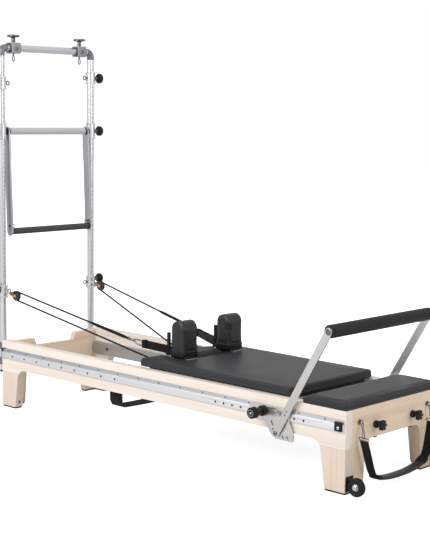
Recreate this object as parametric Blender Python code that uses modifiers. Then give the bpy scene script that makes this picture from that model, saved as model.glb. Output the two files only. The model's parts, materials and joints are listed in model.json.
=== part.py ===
"""Pilates reformer with a half-trapeze tower, as separate sub-parts.

+X points to the foot end, +Y to the left, +Z up, metres. Positions below are counted from the
wooden frame's head-end face; one empty moves the whole assembly so that its origin is the
middle of its footprint, on the floor.
"""
import math

import bmesh
import bpy
from mathutils import Matrix, Vector

OBJECT_NAME = "pilates_reformer"
GAP = 0.0003                      # clearance left between touching pieces
RUNNING = 0.0005                  # radial clearance of a sleeve or a bearing
SIDES = {"left": 1.0, "right": -1.0}

# Wooden frame
FRAME_LENGTH = 2.400
FRAME_WIDTH = 0.705
FRAME_TOP = 0.370
BEAM_BOTTOM = 0.2215
SIDE_THICKNESS = 0.050
LEG_AT_FLOOR = 0.114
LEG_AT_TOP = 0.142
LEG_RADIUS = 0.055
PAD_HEIGHT = 0.008
HEAD_THICKNESS = 0.037
FOOT_THICKNESS = 0.043
END_LEG_INNER = 0.2215            # |y| of the end panels' leg edges at the floor
HALF_WIDTH = FRAME_WIDTH / 2
INNER_FACE = HALF_WIDTH - SIDE_THICKNESS

# Rails
RAIL_LOW = 0.277
RAIL_HIGH = 0.330
RAIL_STEP = 0.311                 # top of the drilled flange
RAIL_WEB = 0.003
RAIL_DEPTH = 0.010
RAIL_HOLE_Z = 0.292
RAIL_HOLE_R = 0.004
RAIL_START = 0.008
RAIL_END = 2.391
COARSE_HOLES = (0.102, 0.1045, 9)     # first, spacing, count
FINE_HOLES = (1.638, 0.0535, 11)
TRACK_LOW = 0.225
TRACK_HIGH = 0.297
TRACK_WIDTH = 0.025
TRACK_WALL = 0.005
TRACK_START = 0.038
TRACK_END = 2.340

# Carriage
CARRIAGE_HEAD = 1.064
CARRIAGE_FOOT = 2.052
CARRIAGE_HALF = 0.315
DECK_LOW = 0.3735
DECK_TOP = 0.418
CHASSIS_HEAD = 1.100
CHASSIS_FOOT = 2.030
CHASSIS_HALF = 0.272
CHASSIS_LOW = 0.352
CHASSIS_BAR = 0.026
AXLE_PLATE_LOW = 0.312
AXLE_PLATE = 0.008
WHEEL_R = 0.028
WHEEL_WIDTH = 0.018
WHEEL_Y = 0.2905
WHEEL_Z = TRACK_HIGH + GAP + WHEEL_R
WHEEL_STATIONS = (CHASSIS_HEAD + 0.070, CHASSIS_FOOT - 0.070)
AXLE_R = 0.005
REST_X = 1.2365
REST_Y = 0.165
REST_TOP = 0.611
REST_THICK = 0.092
REST_WIDE = 0.106
REST_BASE_TOP = 0.460
REST_PLATE_END = 0.060            # how far the plate reaches towards the foot end
PEG_X = 1.1335
PEG_Y = 0.171
PEG_TOP = 0.535
PEG_R = 0.0095
HEADREST_EDGE = 1.2545
HEADREST_HALF = 0.1055
HEADREST_TOP = 0.433
HEADREST_AXIS_Z = 0.4195

# Foot platform and springs
PLATFORM_EDGE = 2.154
PLATFORM_TOP = 0.410
SPRING_Z = 0.292
SPRING_R = 0.0125
SPRING_ROWS = (-0.135, -0.045, 0.045, 0.135)
ANCHOR_X = 1.300
SPRING_BAR_X = 2.135
SPRING_BAR_R = 0.008
ANCHOR_R = 0.006
STAR_KNOB_Y = 0.140
STAR_KNOB_Z = 0.281

# Footbar
PIVOT_X = 2.027
PIVOT_Z = 0.213
BAR_X = 2.316
BAR_Z = 0.709
GRIP_R = 0.0315
BAR_TUBE_R = 0.016
BAR_BORE_R = 0.013
PIN_R = 0.006                     # pivot pins of the footbar and the push-through bar
ARM_WIDTH = 0.037
MOUNT_Y = 0.3665                  # middle of the mount plate
MOUNT_THICKNESS = 0.006
ARM_Y = 0.3775                    # middle of the footbar arm
ARM_THICKNESS = 0.008
PLUNGER_X = 1.947
PLUNGER_Z = 0.3035
PLUNGER_REACH = 0.460             # |y| of the locking knob's face
PLUNGER_R = 0.0255

# Tower
TOWER_X = -0.029
TUBE_R = 0.019
UPRIGHT_Y = 0.322
UPRIGHT_LOW = 0.190
TOP_BAR_Z = 1.977
BEND_R = 0.032
COLLAR_HEIGHT = 0.066
COLLAR_R = 0.0275
UPPER_COLLAR_Z = {"left": 1.829, "right": 1.786}
PUSH_Z = 1.524
PUSH_LENGTH = 0.552
PUSH_TILT = math.radians(2.5)
PUSH_COLLAR_HEIGHT = 0.090
PUSH_COLLAR_R = 0.026
PUSH_ARM_Y = 0.285
PUSH_ARM_THICKNESS = 0.008
PUSH_ARM_WIDTH = 0.050
PUSH_BAR_R = 0.018
KNOB_R = 0.030
KNOB_THICKNESS = 0.018
KNOB_Y = 0.382                    # |y| of the collar knobs' inner face
SLIDER_Y = 0.237
SLIDER_HALF = Vector((0.0275, 0.030, 0.029))
HANDLE_R = 0.030
PULLEY_COLLAR_Z = 0.638
SHEAVE_X = 0.076
SHEAVE_Y = 0.309
SHEAVE_Z = 0.6235
SHEAVE_R = 0.027
GROOVE_R = 0.0185
ROPE_R = 0.00475
ROPE_SLOPE = math.radians(9.5)
HOOK_Z = 0.490
HOOK_X = {"left": 0.830, "right": 0.930}
HOOK_Y = 0.262
LOOP_START = {"left": (0.932, 0.252, 0.460), "right": (1.034, 0.250, 0.4725)}
LOOP_PEG_Z = 0.4475               # the middle of the loop's webbing where it passes the peg
LOOP_BAND = 0.038
CLEAT_X = 1.094
CLEAT_Y = 0.085
CLEAT_ROPE_Z = 0.329
CLEAT_HALF = 0.006

# Transport wheels
CART_WHEEL_X = 2.450
CART_WHEEL_R = 0.041
CART_WHEEL_Y = 0.333

CENTRE_X = (CART_WHEEL_X + CART_WHEEL_R + TOWER_X - HANDLE_R) / 2

for old_object in list(bpy.data.objects):
    bpy.data.objects.remove(old_object, do_unlink=True)

PARTS = bpy.data.collections.new(OBJECT_NAME)
bpy.context.scene.collection.children.link(PARTS)
ROOT = bpy.data.objects.new("reformer_origin", None)
ROOT.location = (-CENTRE_X, 0.0, 0.0)
PARTS.objects.link(ROOT)


def new_material(name, colour, roughness, metallic=0.0):
    """A Principled BSDF with one colour, roughness and metallic value."""
    material = bpy.data.materials.new(name)
    material.use_nodes = True
    shader = material.node_tree.nodes["Principled BSDF"]
    shader.inputs["Base Color"].default_value = (*colour, 1.0)
    shader.inputs["Roughness"].default_value = roughness
    shader.inputs["Metallic"].default_value = metallic
    return material


MAPLE = new_material("maple", (0.78, 0.66, 0.52), 0.5)
ALUMINIUM = new_material("aluminium", (0.62, 0.63, 0.65), 0.35, 1.0)
STEEL = new_material("polished_steel", (0.75, 0.75, 0.74), 0.15, 1.0)
UPHOLSTERY = new_material("upholstery", (0.035, 0.035, 0.038), 0.55)
BLACK = new_material("black_plastic", (0.015, 0.015, 0.016), 0.45)
RUBBER = new_material("black_rubber", (0.012, 0.012, 0.012), 0.8)
WEBBING = new_material("webbing", (0.012, 0.012, 0.013), 0.9)
DARK_STEEL = new_material("dark_steel", (0.06, 0.06, 0.065), 0.4, 0.8)


# Modelling helpers -------------------------------------------------------------------------

def mesh_from(bm, name="shape"):
    """Turn a bmesh into mesh data."""
    mesh = bpy.data.meshes.new(name)
    bm.to_mesh(mesh)
    bm.free()
    return mesh


def block(low, high):
    """A box from its lowest to its highest corner."""
    bm = bmesh.new()
    low, high = Vector(low), Vector(high)
    place = Matrix.Translation((low + high) / 2)
    stretch = Matrix.Diagonal((*(high - low), 1.0))
    bmesh.ops.create_cube(bm, size=1.0, matrix=place @ stretch)
    return mesh_from(bm)


def rod(start, end, radius, segments=20):
    """A round bar from start to end."""
    bm = bmesh.new()
    start, end = Vector(start), Vector(end)
    turn = (end - start).to_track_quat("Z", "Y").to_matrix().to_4x4()
    bmesh.ops.create_cone(
        bm, cap_ends=True, segments=segments, radius1=radius, radius2=radius,
        depth=(end - start).length, matrix=Matrix.Translation((start + end) / 2) @ turn)
    return mesh_from(bm)


def evaluated(source):
    """The evaluated mesh of a temporary object, which is then removed."""
    bpy.context.scene.collection.objects.link(source)
    bpy.context.view_layer.update()
    result = source.evaluated_get(bpy.context.evaluated_depsgraph_get())
    mesh = bpy.data.meshes.new_from_object(result)
    bpy.data.objects.remove(source, do_unlink=True)
    return mesh


def cleaned(mesh):
    """Weld loose seams and make the faces point out."""
    bm = bmesh.new()
    bm.from_mesh(mesh)
    bmesh.ops.remove_doubles(bm, verts=bm.verts, dist=0.00001)
    bmesh.ops.recalc_face_normals(bm, faces=bm.faces)
    return mesh_from(bm)


def boolean(base, tool, operation):
    """Join tool to base, or cut base with it."""
    tool_object = bpy.data.objects.new("tool", tool)
    bpy.context.scene.collection.objects.link(tool_object)
    target = bpy.data.objects.new("target", base)
    modifier = target.modifiers.new("boolean", "BOOLEAN")
    modifier.operation = operation
    modifier.object = tool_object
    result = evaluated(target)
    bpy.data.objects.remove(tool_object, do_unlink=True)
    return result


def union(base, *tools):
    """One closed body from overlapping shapes."""
    for tool in tools:
        base = boolean(base, tool, "UNION")
    return base


def cut(base, *tools):
    """Take each tool's volume out of base."""
    for tool in tools:
        base = boolean(base, tool, "DIFFERENCE")
    return base


def grouped(shapes):
    """Several separate shapes as one mesh, for use as a cutter."""
    bm = bmesh.new()
    for shape in shapes:
        bm.from_mesh(shape)
    return mesh_from(bm)


def ring(centre, axis, r_in, r_out, length, segments=24):
    """A sleeve: a rectangle turned about the axis through centre."""
    half = length / 2
    return turned([(r_out, half), (r_out, -half), (r_in, -half), (r_in, half)],
                  centre, axis, segments)


def turned(profile, centre, axis, segments=24):
    """A closed (radius, height) profile turned about an axis through centre."""
    bm = bmesh.new()
    corners = [bm.verts.new((radius, 0.0, height)) for radius, height in profile]
    for first, second in zip(corners, corners[1:] + corners[:1]):
        bm.edges.new((first, second))
    source = bpy.data.objects.new("profile", mesh_from(bm))
    screw = source.modifiers.new("screw", "SCREW")
    screw.steps = segments
    screw.render_steps = segments
    screw.use_merge_vertices = True
    screw.merge_threshold = 0.00001
    mesh = cleaned(evaluated(source))
    turn = Vector(axis).to_track_quat("Z", "Y").to_matrix().to_4x4()
    mesh.transform(Matrix.Translation(centre) @ turn)
    return mesh


def rounded(corners, steps=5):
    """An outline from (u, v) or (u, v, radius) corners, with an arc at each radius."""
    outline = []
    count = len(corners)
    for index, corner in enumerate(corners):
        here = Vector(corner[:2])
        if len(corner) == 2:
            outline.append(tuple(here))
            continue
        radius = corner[2]
        before = (Vector(corners[index - 1][:2]) - here).normalized()
        after = (Vector(corners[(index + 1) % count][:2]) - here).normalized()
        half_angle = before.angle(after) / 2
        centre = here + (before + after).normalized() * radius / math.sin(half_angle)
        start = here + before * radius / math.tan(half_angle) - centre
        finish = here + after * radius / math.tan(half_angle) - centre
        sweep = start.angle_signed(finish)
        for step in range(steps + 1):
            arm = start.copy()
            arm.rotate(Matrix.Rotation(-sweep * step / steps, 2))
            outline.append(tuple(centre + arm))
    return outline


def stadium(first, second, width, steps=6):
    """A flat bar's outline with round ends about two centres."""
    first, second = Vector(first), Vector(second)
    along = second - first
    heading = math.atan2(along.y, along.x)
    outline = []
    for centre, start in ((second, heading - math.pi / 2), (first, heading + math.pi / 2)):
        for step in range(steps + 1):
            angle = start + math.pi * step / steps
            outline.append((centre.x + width / 2 * math.cos(angle),
                            centre.y + width / 2 * math.sin(angle)))
    return outline


def circle(centre, radius, steps=12):
    """A round hole's outline."""
    return [(centre[0] + radius * math.cos(2 * math.pi * step / steps),
             centre[1] + radius * math.sin(2 * math.pi * step / steps)) for step in range(steps)]


PLANES = {
    "XZ": lambda offset: Matrix.Translation((0, offset, 0)) @ Matrix.Rotation(math.pi / 2, 4, "X"),
    "YZ": lambda offset: Matrix.Translation((offset, 0, 0)) @ Matrix(
        ((0, 0, 1, 0), (1, 0, 0, 0), (0, 1, 0, 0), (0, 0, 0, 1))),
    "XY": lambda offset: Matrix.Translation((0, 0, offset)),
}


def plate(plane, offset, thickness, outline, holes=()):
    """A flat outline in a plane, given its thickness about the offset."""
    curve = bpy.data.curves.new("outline", "CURVE")
    curve.dimensions = "2D"
    curve.fill_mode = "BOTH"
    curve.extrude = thickness / 2
    for loop in (outline, *holes):
        spline = curve.splines.new("POLY")
        spline.points.add(len(loop) - 1)
        for point, (u, v) in zip(spline.points, loop):
            point.co = (u, v, 0.0, 1.0)
        spline.use_cyclic_u = True
    mesh = evaluated(bpy.data.objects.new("outline", curve))
    mesh.transform(PLANES[plane](offset))
    return cleaned(mesh)


def swept(points, radius, bevel_resolution=2):
    """A round tube along a list of points, with closed ends."""
    curve = bpy.data.curves.new("path", "CURVE")
    curve.dimensions = "3D"
    curve.bevel_depth = radius
    curve.bevel_resolution = bevel_resolution
    curve.use_fill_caps = True
    spline = curve.splines.new("POLY")
    spline.points.add(len(points) - 1)
    for point, place in zip(spline.points, points):
        point.co = (*place, 1.0)
    return cleaned(evaluated(bpy.data.objects.new("path", curve)))


def smooth_route(points, spacing):
    """Points at an even spacing along a smooth curve through the route's own points."""
    curve = bpy.data.curves.new("route", "CURVE")
    curve.dimensions = "3D"
    curve.resolution_u = 16
    spline = curve.splines.new("BEZIER")
    spline.bezier_points.add(len(points) - 1)
    for point, place in zip(spline.bezier_points, points):
        point.co = place
        point.handle_left_type = "AUTO"
        point.handle_right_type = "AUTO"
    mesh = evaluated(bpy.data.objects.new("route", curve))
    dense = [vertex.co.copy() for vertex in mesh.vertices]
    lengths = [0.0]
    for first, second in zip(dense, dense[1:]):
        lengths.append(lengths[-1] + (second - first).length)
    count = max(2, round(lengths[-1] / spacing))
    result = []
    index = 0
    for step in range(count + 1):
        wanted = lengths[-1] * step / count
        while index < len(lengths) - 2 and lengths[index + 1] < wanted:
            index += 1
        share = (wanted - lengths[index]) / (lengths[index + 1] - lengths[index])
        result.append(dense[index].lerp(dense[index + 1], min(share, 1.0)))
    return result


def ribbon_outline(points, thickness):
    """The outline of a band of even thickness along a flat route of (u, v) points."""
    upper, lower = [], []
    for index, point in enumerate(points):
        before = Vector(points[max(index - 1, 0)])
        after = Vector(points[min(index + 1, len(points) - 1)])
        along = (after - before).normalized()
        normal = Vector((-along.y, along.x)) * thickness / 2
        upper.append(tuple(Vector(point) + normal))
        lower.append(tuple(Vector(point) - normal))
    return upper + lower[::-1]


def add(name, mesh, material, axis_point=(0.0, 0.0, 0.0)):
    """Make the named sub-part, with its origin at axis_point."""
    mesh.transform(Matrix.Translation(-Vector(axis_point)))
    mesh.name = name
    mesh.materials.clear()
    mesh.materials.append(material)
    mesh.shade_smooth()
    mesh.set_sharp_from_angle(angle=math.radians(35))
    part = bpy.data.objects.new(name, mesh)
    part.location = axis_point
    part.parent = ROOT
    PARTS.objects.link(part)
    return part


# Wooden frame ------------------------------------------------------------------------------

def side_panel(side):
    """A side beam with its two tapering legs, glued up as one panel."""
    outline = rounded([
        (0.0, PAD_HEIGHT), (LEG_AT_FLOOR, PAD_HEIGHT), (LEG_AT_TOP, BEAM_BOTTOM, LEG_RADIUS),
        (FRAME_LENGTH - LEG_AT_TOP, BEAM_BOTTOM, LEG_RADIUS),
        (FRAME_LENGTH - LEG_AT_FLOOR, PAD_HEIGHT), (FRAME_LENGTH, PAD_HEIGHT),
        (FRAME_LENGTH, FRAME_TOP), (0.0, FRAME_TOP)])
    middle = SIDES[side] * (HALF_WIDTH - SIDE_THICKNESS / 2)
    add(f"side_panel_{side}", plate("XZ", middle, SIDE_THICKNESS, outline), MAPLE)


def end_panel(name, face_x, thickness, upper_edge):
    """A board between the side panels that carries down into the legs."""
    edge = INNER_FACE - GAP
    knee = END_LEG_INNER - 0.016
    lower_edge = [
        (-edge, PAD_HEIGHT), (-END_LEG_INNER, PAD_HEIGHT), (-knee, 0.224, 0.045),
        (knee, 0.224, 0.045), (END_LEG_INNER, PAD_HEIGHT), (edge, PAD_HEIGHT)]
    outline = rounded(lower_edge + upper_edge)
    add(name, plate("YZ", face_x, thickness, outline), MAPLE)


def foot_pad(end, side):
    """An L-shaped rubber sole under one corner of the frame."""
    inset = 0.003
    sign = SIDES[side]
    outer, inner = HALF_WIDTH - inset, INNER_FACE + inset
    thickness = HEAD_THICKNESS if end == "head" else FOOT_THICKNESS
    corners = [(inset, outer), (LEG_AT_FLOOR - inset, outer), (LEG_AT_FLOOR - inset, inner),
               (thickness - inset, inner), (thickness - inset, END_LEG_INNER + inset),
               (inset, END_LEG_INNER + inset)]
    outline = [(x if end == "head" else FRAME_LENGTH - x, sign * y) for x, y in corners]
    height = PAD_HEIGHT - GAP
    add(f"foot_pad_{end}_{side}", plate("XY", height / 2, height, outline), RUBBER)


def wooden_frame():
    edge = INNER_FACE - GAP
    for side in SIDES:
        side_panel(side)
    eared_top = [(edge, 0.362), (0.150, 0.362, 0.012), (0.136, 0.318, 0.012),
                 (-0.136, 0.318, 0.012), (-0.150, 0.362, 0.012), (-edge, 0.362)]
    end_panel("head_panel", HEAD_THICKNESS / 2, HEAD_THICKNESS, eared_top)
    straight_top = [(edge, FRAME_TOP), (-edge, FRAME_TOP)]
    end_panel("foot_panel", FRAME_LENGTH - FOOT_THICKNESS / 2, FOOT_THICKNESS, straight_top)
    for end in ("head", "foot"):
        for side in SIDES:
            foot_pad(end, side)


# Rails -------------------------------------------------------------------------------------

def rail_holes():
    """Positions of the drilled index holes: a coarse row, then a fine row."""
    return [first + spacing * index for first, spacing, count in (COARSE_HOLES, FINE_HOLES)
            for index in range(count)]


def outer_rail(side):
    """The drilled outer rail that the footbar mount slides and locks on."""
    sign = SIDES[side]
    corner = 0.012
    web_y = sign * (HALF_WIDTH + GAP + RAIL_WEB / 2)
    web = plate("XZ", web_y, RAIL_WEB, rounded([
        (RAIL_START, RAIL_LOW, corner), (RAIL_END, RAIL_LOW), (RAIL_END, RAIL_HIGH),
        (RAIL_START, RAIL_HIGH, corner)]))
    flange_low = HALF_WIDTH + RAIL_WEB / 2
    flange_high = HALF_WIDTH + RAIL_DEPTH
    flange = plate("XZ", sign * (flange_low + flange_high) / 2, flange_high - flange_low, rounded([
        (RAIL_START, RAIL_LOW, corner), (RAIL_END, RAIL_LOW), (RAIL_END, RAIL_STEP),
        (RAIL_START, RAIL_STEP, corner)]))
    drills = [rod((x, sign * (HALF_WIDTH + 0.004), RAIL_HOLE_Z),
                  (x, sign * (flange_high + 0.01), RAIL_HOLE_Z), RAIL_HOLE_R, 8)
              for x in rail_holes()]
    add(f"outer_rail_{side}", cut(union(web, flange), grouped(drills)), ALUMINIUM)


def inner_rail(side):
    """The track inside the frame that the carriage wheels run on: a channel with round ends."""
    sign = SIDES[side]
    low_y, high_y = INNER_FACE - TRACK_WIDTH, INNER_FACE - GAP
    corner = 0.026
    bar = plate("XZ", sign * (low_y + high_y) / 2, high_y - low_y, rounded([
        (TRACK_START, TRACK_LOW, corner), (TRACK_END, TRACK_LOW, corner),
        (TRACK_END, TRACK_HIGH, corner), (TRACK_START, TRACK_HIGH, corner)]))
    hollow_y = sorted((sign * (low_y + TRACK_WALL), sign * (high_y + TRACK_WALL)))
    hollow = block((TRACK_START + 0.04, hollow_y[0], TRACK_LOW + TRACK_WALL),
                   (TRACK_END - 0.04, hollow_y[1], TRACK_HIGH - TRACK_WALL))
    add(f"inner_rail_{side}", cut(bar, hollow), ALUMINIUM)


# Carriage ----------------------------------------------------------------------------------

def carriage_chassis():
    """Welded frame under the deck, with axle plates, rope cleats and the spring anchor bar."""
    top = DECK_LOW - GAP
    body = block((CHASSIS_HEAD, -CHASSIS_HALF, CHASSIS_LOW), (CHASSIS_FOOT, CHASSIS_HALF, top))
    half_bar = CHASSIS_BAR / 2
    crossbars = (CHASSIS_HEAD + half_bar, ANCHOR_X, (ANCHOR_X + CHASSIS_FOOT) / 2,
                 CHASSIS_FOOT - half_bar)
    reach = CHASSIS_HALF - CHASSIS_BAR
    windows = [block((low + half_bar, -reach, CHASSIS_LOW - 0.01),
                     (high - half_bar, reach, top + 0.01))
               for low, high in zip(crossbars, crossbars[1:])]
    body = cut(body, grouped(windows))
    extras = []
    for sign in SIDES.values():
        plate_y = sorted((sign * (CHASSIS_HALF - AXLE_PLATE), sign * CHASSIS_HALF))
        for axle_x in WHEEL_STATIONS:
            extras.append(block((axle_x - 0.024, plate_y[0], AXLE_PLATE_LOW),
                                (axle_x + 0.024, plate_y[1], CHASSIS_LOW + 0.006)))
            extras.append(rod((axle_x, sign * (CHASSIS_HALF - AXLE_PLATE / 2), WHEEL_Z),
                              (axle_x, sign * (WHEEL_Y + 0.0107), WHEEL_Z), AXLE_R, 16))
        extras.append(block((CLEAT_X, sign * CLEAT_Y - CLEAT_HALF, CLEAT_ROPE_Z - CLEAT_HALF),
                            (CHASSIS_HEAD + 0.004, sign * CLEAT_Y + CLEAT_HALF,
                             CHASSIS_LOW + 0.004)))
    reach = max(SPRING_ROWS) + 0.025
    extras.append(rod((ANCHOR_X, -reach, SPRING_Z), (ANCHOR_X, reach, SPRING_Z), ANCHOR_R, 16))
    for lug_y in (-0.09, 0.0, 0.09):
        extras.append(block((ANCHOR_X - 0.004, lug_y - 0.004, SPRING_Z),
                            (ANCHOR_X + 0.004, lug_y + 0.004, CHASSIS_LOW + 0.01)))
    add("carriage_chassis", union(body, *extras), DARK_STEEL)


def carriage_wheel(end, side):
    """A load wheel that rolls on the inner rail."""
    axle_x = WHEEL_STATIONS[0] if end == "head" else WHEEL_STATIONS[1]
    centre = (axle_x, SIDES[side] * WHEEL_Y, WHEEL_Z)
    wheel = ring(centre, (0, 1, 0), AXLE_R + RUNNING, WHEEL_R, WHEEL_WIDTH)
    add(f"carriage_wheel_{end}_{side}", wheel, RUBBER, centre)


def carriage_deck():
    """The upholstered deck, notched at its head end for the headrest."""
    notch = HEADREST_HALF + 0.0025
    notch_x = HEADREST_EDGE + 0.0015
    radius = 0.014
    outline = rounded([
        (CARRIAGE_HEAD, -CARRIAGE_HALF, radius), (CARRIAGE_FOOT, -CARRIAGE_HALF, radius),
        (CARRIAGE_FOOT, CARRIAGE_HALF, radius), (CARRIAGE_HEAD, CARRIAGE_HALF, radius),
        (CARRIAGE_HEAD, notch), (notch_x, notch), (notch_x, -notch), (CARRIAGE_HEAD, -notch)])
    height = DECK_TOP - DECK_LOW
    add("carriage_pad", plate("XY", DECK_LOW + height / 2, height, outline), UPHOLSTERY)


def headrest():
    """The raised pad between the shoulder rests, hinged at its foot-side edge."""
    low = DECK_LOW + 0.004
    radius = 0.012
    outline = rounded([(1.030, -HEADREST_HALF, radius), (HEADREST_EDGE, -HEADREST_HALF),
                       (HEADREST_EDGE, HEADREST_HALF), (1.030, HEADREST_HALF, radius)])
    mesh = plate("XY", (low + HEADREST_TOP) / 2, HEADREST_TOP - low, outline)
    add("headrest_pad", mesh, UPHOLSTERY, (HEADREST_EDGE, 0.0, HEADREST_AXIS_Z))


def shoulder_rest(side):
    """An arched block on its base, a plate on the deck and the loop peg, bolted together."""
    sign = SIDES[side]
    low = DECK_TOP + GAP
    plate_top = low + 0.004
    thick, wide = REST_THICK, REST_WIDE
    body = plate("XZ", sign * REST_Y, wide, rounded([
        (REST_X - thick / 2, plate_top - 0.001), (REST_X + thick / 2, plate_top - 0.001),
        (REST_X + thick / 2, REST_TOP, thick / 2 - 0.001),
        (REST_X - thick / 2, REST_TOP, thick / 2 - 0.001)], 8))
    base = block((REST_X - thick / 2 - 0.002, sign * REST_Y - wide / 2 - 0.002, plate_top - 0.001),
                 (REST_X + thick / 2 + 0.002, sign * REST_Y + wide / 2 + 0.002,
                  REST_BASE_TOP))
    foot = block((PEG_X - 0.020, sign * REST_Y - 0.030, low),
                 (REST_X + REST_PLATE_END, sign * REST_Y + 0.030, plate_top))
    peg = rod((PEG_X, sign * PEG_Y, low + 0.001), (PEG_X, sign * PEG_Y, PEG_TOP), PEG_R, 20)
    add(f"shoulder_rest_{side}", union(body, base, foot, peg), UPHOLSTERY)


def carriage():
    carriage_chassis()
    for end in ("head", "foot"):
        for side in SIDES:
            carriage_wheel(end, side)
    carriage_deck()
    headrest()
    for side in SIDES:
        shoulder_rest(side)


# Foot platform, springs and what hangs on the foot panel ---------------------------------

def foot_platform():
    """Upholstered standing platform over the foot end."""
    half = HALF_WIDTH + 0.003
    low = FRAME_TOP + GAP
    outline = rounded([(PLATFORM_EDGE, -half, 0.008), (FRAME_LENGTH + 0.003, -half, 0.012),
                       (FRAME_LENGTH + 0.003, half, 0.012), (PLATFORM_EDGE, half, 0.008)])
    mesh = plate("XY", (low + PLATFORM_TOP) / 2, PLATFORM_TOP - low, outline)
    add("foot_platform", mesh, UPHOLSTERY)


def spring_bar():
    """The cross bar that the springs hook on, between the inner rails."""
    reach = INNER_FACE - TRACK_WIDTH - GAP
    mesh = rod((SPRING_BAR_X, -reach, SPRING_Z), (SPRING_BAR_X, reach, SPRING_Z), SPRING_BAR_R, 20)
    add("spring_bar", mesh, STEEL)


def spring(number, row_y):
    """A spring's outer shape: the coil's cylinder with a hook's rod at each end."""
    start = ANCHOR_X + ANCHOR_R + GAP
    end = SPRING_BAR_X - SPRING_BAR_R - GAP
    coil = rod((start + 0.05, row_y, SPRING_Z), (end - 0.05, row_y, SPRING_Z), SPRING_R, 20)
    wire = rod((start, row_y, SPRING_Z), (end, row_y, SPRING_Z), 0.003, 10)
    add(f"spring_{number}", union(coil, wire), STEEL)


def star_knob(side):
    """A clamp screw's star head with its collar, against the foot panel."""
    centre_y = SIDES[side] * STAR_KNOB_Y
    centre_z = STAR_KNOB_Z
    lobes = 6
    outline = []
    for step in range(lobes * 5):
        angle = 2 * math.pi * step / (lobes * 5)
        radius = 0.0215 + 0.0035 * math.cos(lobes * angle)
        outline.append((centre_y + radius * math.cos(angle), centre_z + radius * math.sin(angle)))
    head = plate("YZ", 2.4385, 0.019, outline)
    collar = rod((FRAME_LENGTH + GAP, centre_y, centre_z), (2.416, centre_y, centre_z), 0.017, 20)
    stem = rod((2.410, centre_y, centre_z), (2.432, centre_y, centre_z), 0.009, 16)
    add(f"star_knob_{side}", union(head, stem, collar), BLACK,
        (FRAME_LENGTH, centre_y, centre_z))


def transport_wheel(side):
    """A wheel that meets the floor when the head end is lifted, with its axle stub."""
    centre = Vector((CART_WHEEL_X, SIDES[side] * CART_WHEEL_Y, CART_WHEEL_R + 0.0015))
    half = Vector((0.0, 0.014, 0.0))
    tyre = rod(centre - half, centre + half, CART_WHEEL_R, 32)
    hub = rod(centre - half * 1.35, centre + half * 1.35, 0.013, 20)
    add(f"transport_wheel_{side}", union(tyre, hub), BLACK, centre)


STRAP_X = 2.435
STRAP_ROUTE = [(-0.268, 0.235), (-0.250, 0.190), (-0.205, 0.080), (-0.160, 0.050),
               (-0.080, 0.038), (0.0, 0.036), (0.080, 0.040), (0.160, 0.056),
               (0.208, 0.090), (0.235, 0.180), (0.245, 0.235)]


def foot_strap():
    """The padded strap that hangs in a curve across the foot end."""
    route = smooth_route([(STRAP_X, y, z) for y, z in STRAP_ROUTE], 0.026)
    outline = ribbon_outline([(point.y, point.z) for point in route], 0.008)
    add("foot_strap", plate("YZ", STRAP_X, 0.046, outline), WEBBING)


def storage_sling():
    """A wide strap hung across under the frame."""
    under = BEAM_BOTTOM - 0.0019
    edge = INNER_FACE - 0.001
    half_route = [(edge + 0.037, under), (edge + 0.009, under), (edge + 0.002, under - 0.007),
                  (edge, under - 0.060), (edge - 0.015, 0.134), (0.150, 0.130)]
    route = half_route + [(0.0, 0.129)] + [(-y, z) for y, z in reversed(half_route)]
    outline = ribbon_outline(route, 0.003)
    add("storage_sling", plate("YZ", 0.885, 0.096, outline), WEBBING)


def foot_end():
    foot_platform()
    spring_bar()
    for number, row_y in enumerate(SPRING_ROWS, 1):
        spring(number, row_y)
    for side in SIDES:
        star_knob(side)
        transport_wheel(side)
    foot_strap()
    storage_sling()


# Footbar -----------------------------------------------------------------------------------

def footbar_mount(side):
    """The slotted steel plate that rides on the outer rail and carries the footbar pivot."""
    sign = SIDES[side]
    outline = rounded([
        (1.862, 0.262, 0.012), (1.945, 0.262, 0.010), (1.994, 0.200, 0.016), (2.020, 0.186, 0.014),
        (2.118, 0.184, 0.012), (2.122, 0.215, 0.012), (2.098, 0.268), (2.080, 0.328, 0.010),
        (1.862, 0.328, 0.012)])
    holes = [circle((2.030, 0.311), 0.004), circle((2.042, 0.261), 0.007),
             stadium((2.058, 0.203), (2.064, 0.193), 0.005, 4),
             stadium((2.084, 0.205), (2.090, 0.195), 0.005, 4),
             stadium((1.992, 0.262), (2.000, 0.246), 0.006, 4),
             circle((PLUNGER_X, PLUNGER_Z), 0.0045)]
    body = plate("XZ", sign * MOUNT_Y, MOUNT_THICKNESS, outline, holes)
    lip_y = sorted((sign * (HALF_WIDTH + RAIL_WEB + 0.002), sign * (MOUNT_Y - 0.002)))
    lip = block((1.925, lip_y[0], RAIL_STEP + 0.0015), (2.070, lip_y[1], RAIL_HIGH - 0.004))
    pin = rod((PIVOT_X, sign * MOUNT_Y, PIVOT_Z), (PIVOT_X, sign * (ARM_Y + 0.010), PIVOT_Z), PIN_R, 20)
    add(f"footbar_mount_{side}", union(body, lip, pin), STEEL)


def footbar_plunger(side):
    """The sprung locking knob on the mount plate, with its pin behind."""
    sign = SIDES[side]
    outer = MOUNT_Y + MOUNT_THICKNESS / 2
    sections = [(HALF_WIDTH + RAIL_DEPTH + 2 * GAP, outer + 0.010, 0.0035, 12),
                (outer + GAP, outer + 0.022, PLUNGER_R - 0.001, 28),
                (outer + 0.020, PLUNGER_REACH - 0.030, 0.017, 20),
                (PLUNGER_REACH - 0.036, PLUNGER_REACH, PLUNGER_R, 28)]
    shapes = [rod((PLUNGER_X, sign * start, PLUNGER_Z), (PLUNGER_X, sign * end, PLUNGER_Z),
                  radius, segments) for start, end, radius, segments in sections]
    add(f"footbar_plunger_{side}", union(*shapes), BLACK,
        (PLUNGER_X, sign * outer, PLUNGER_Z))


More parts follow.
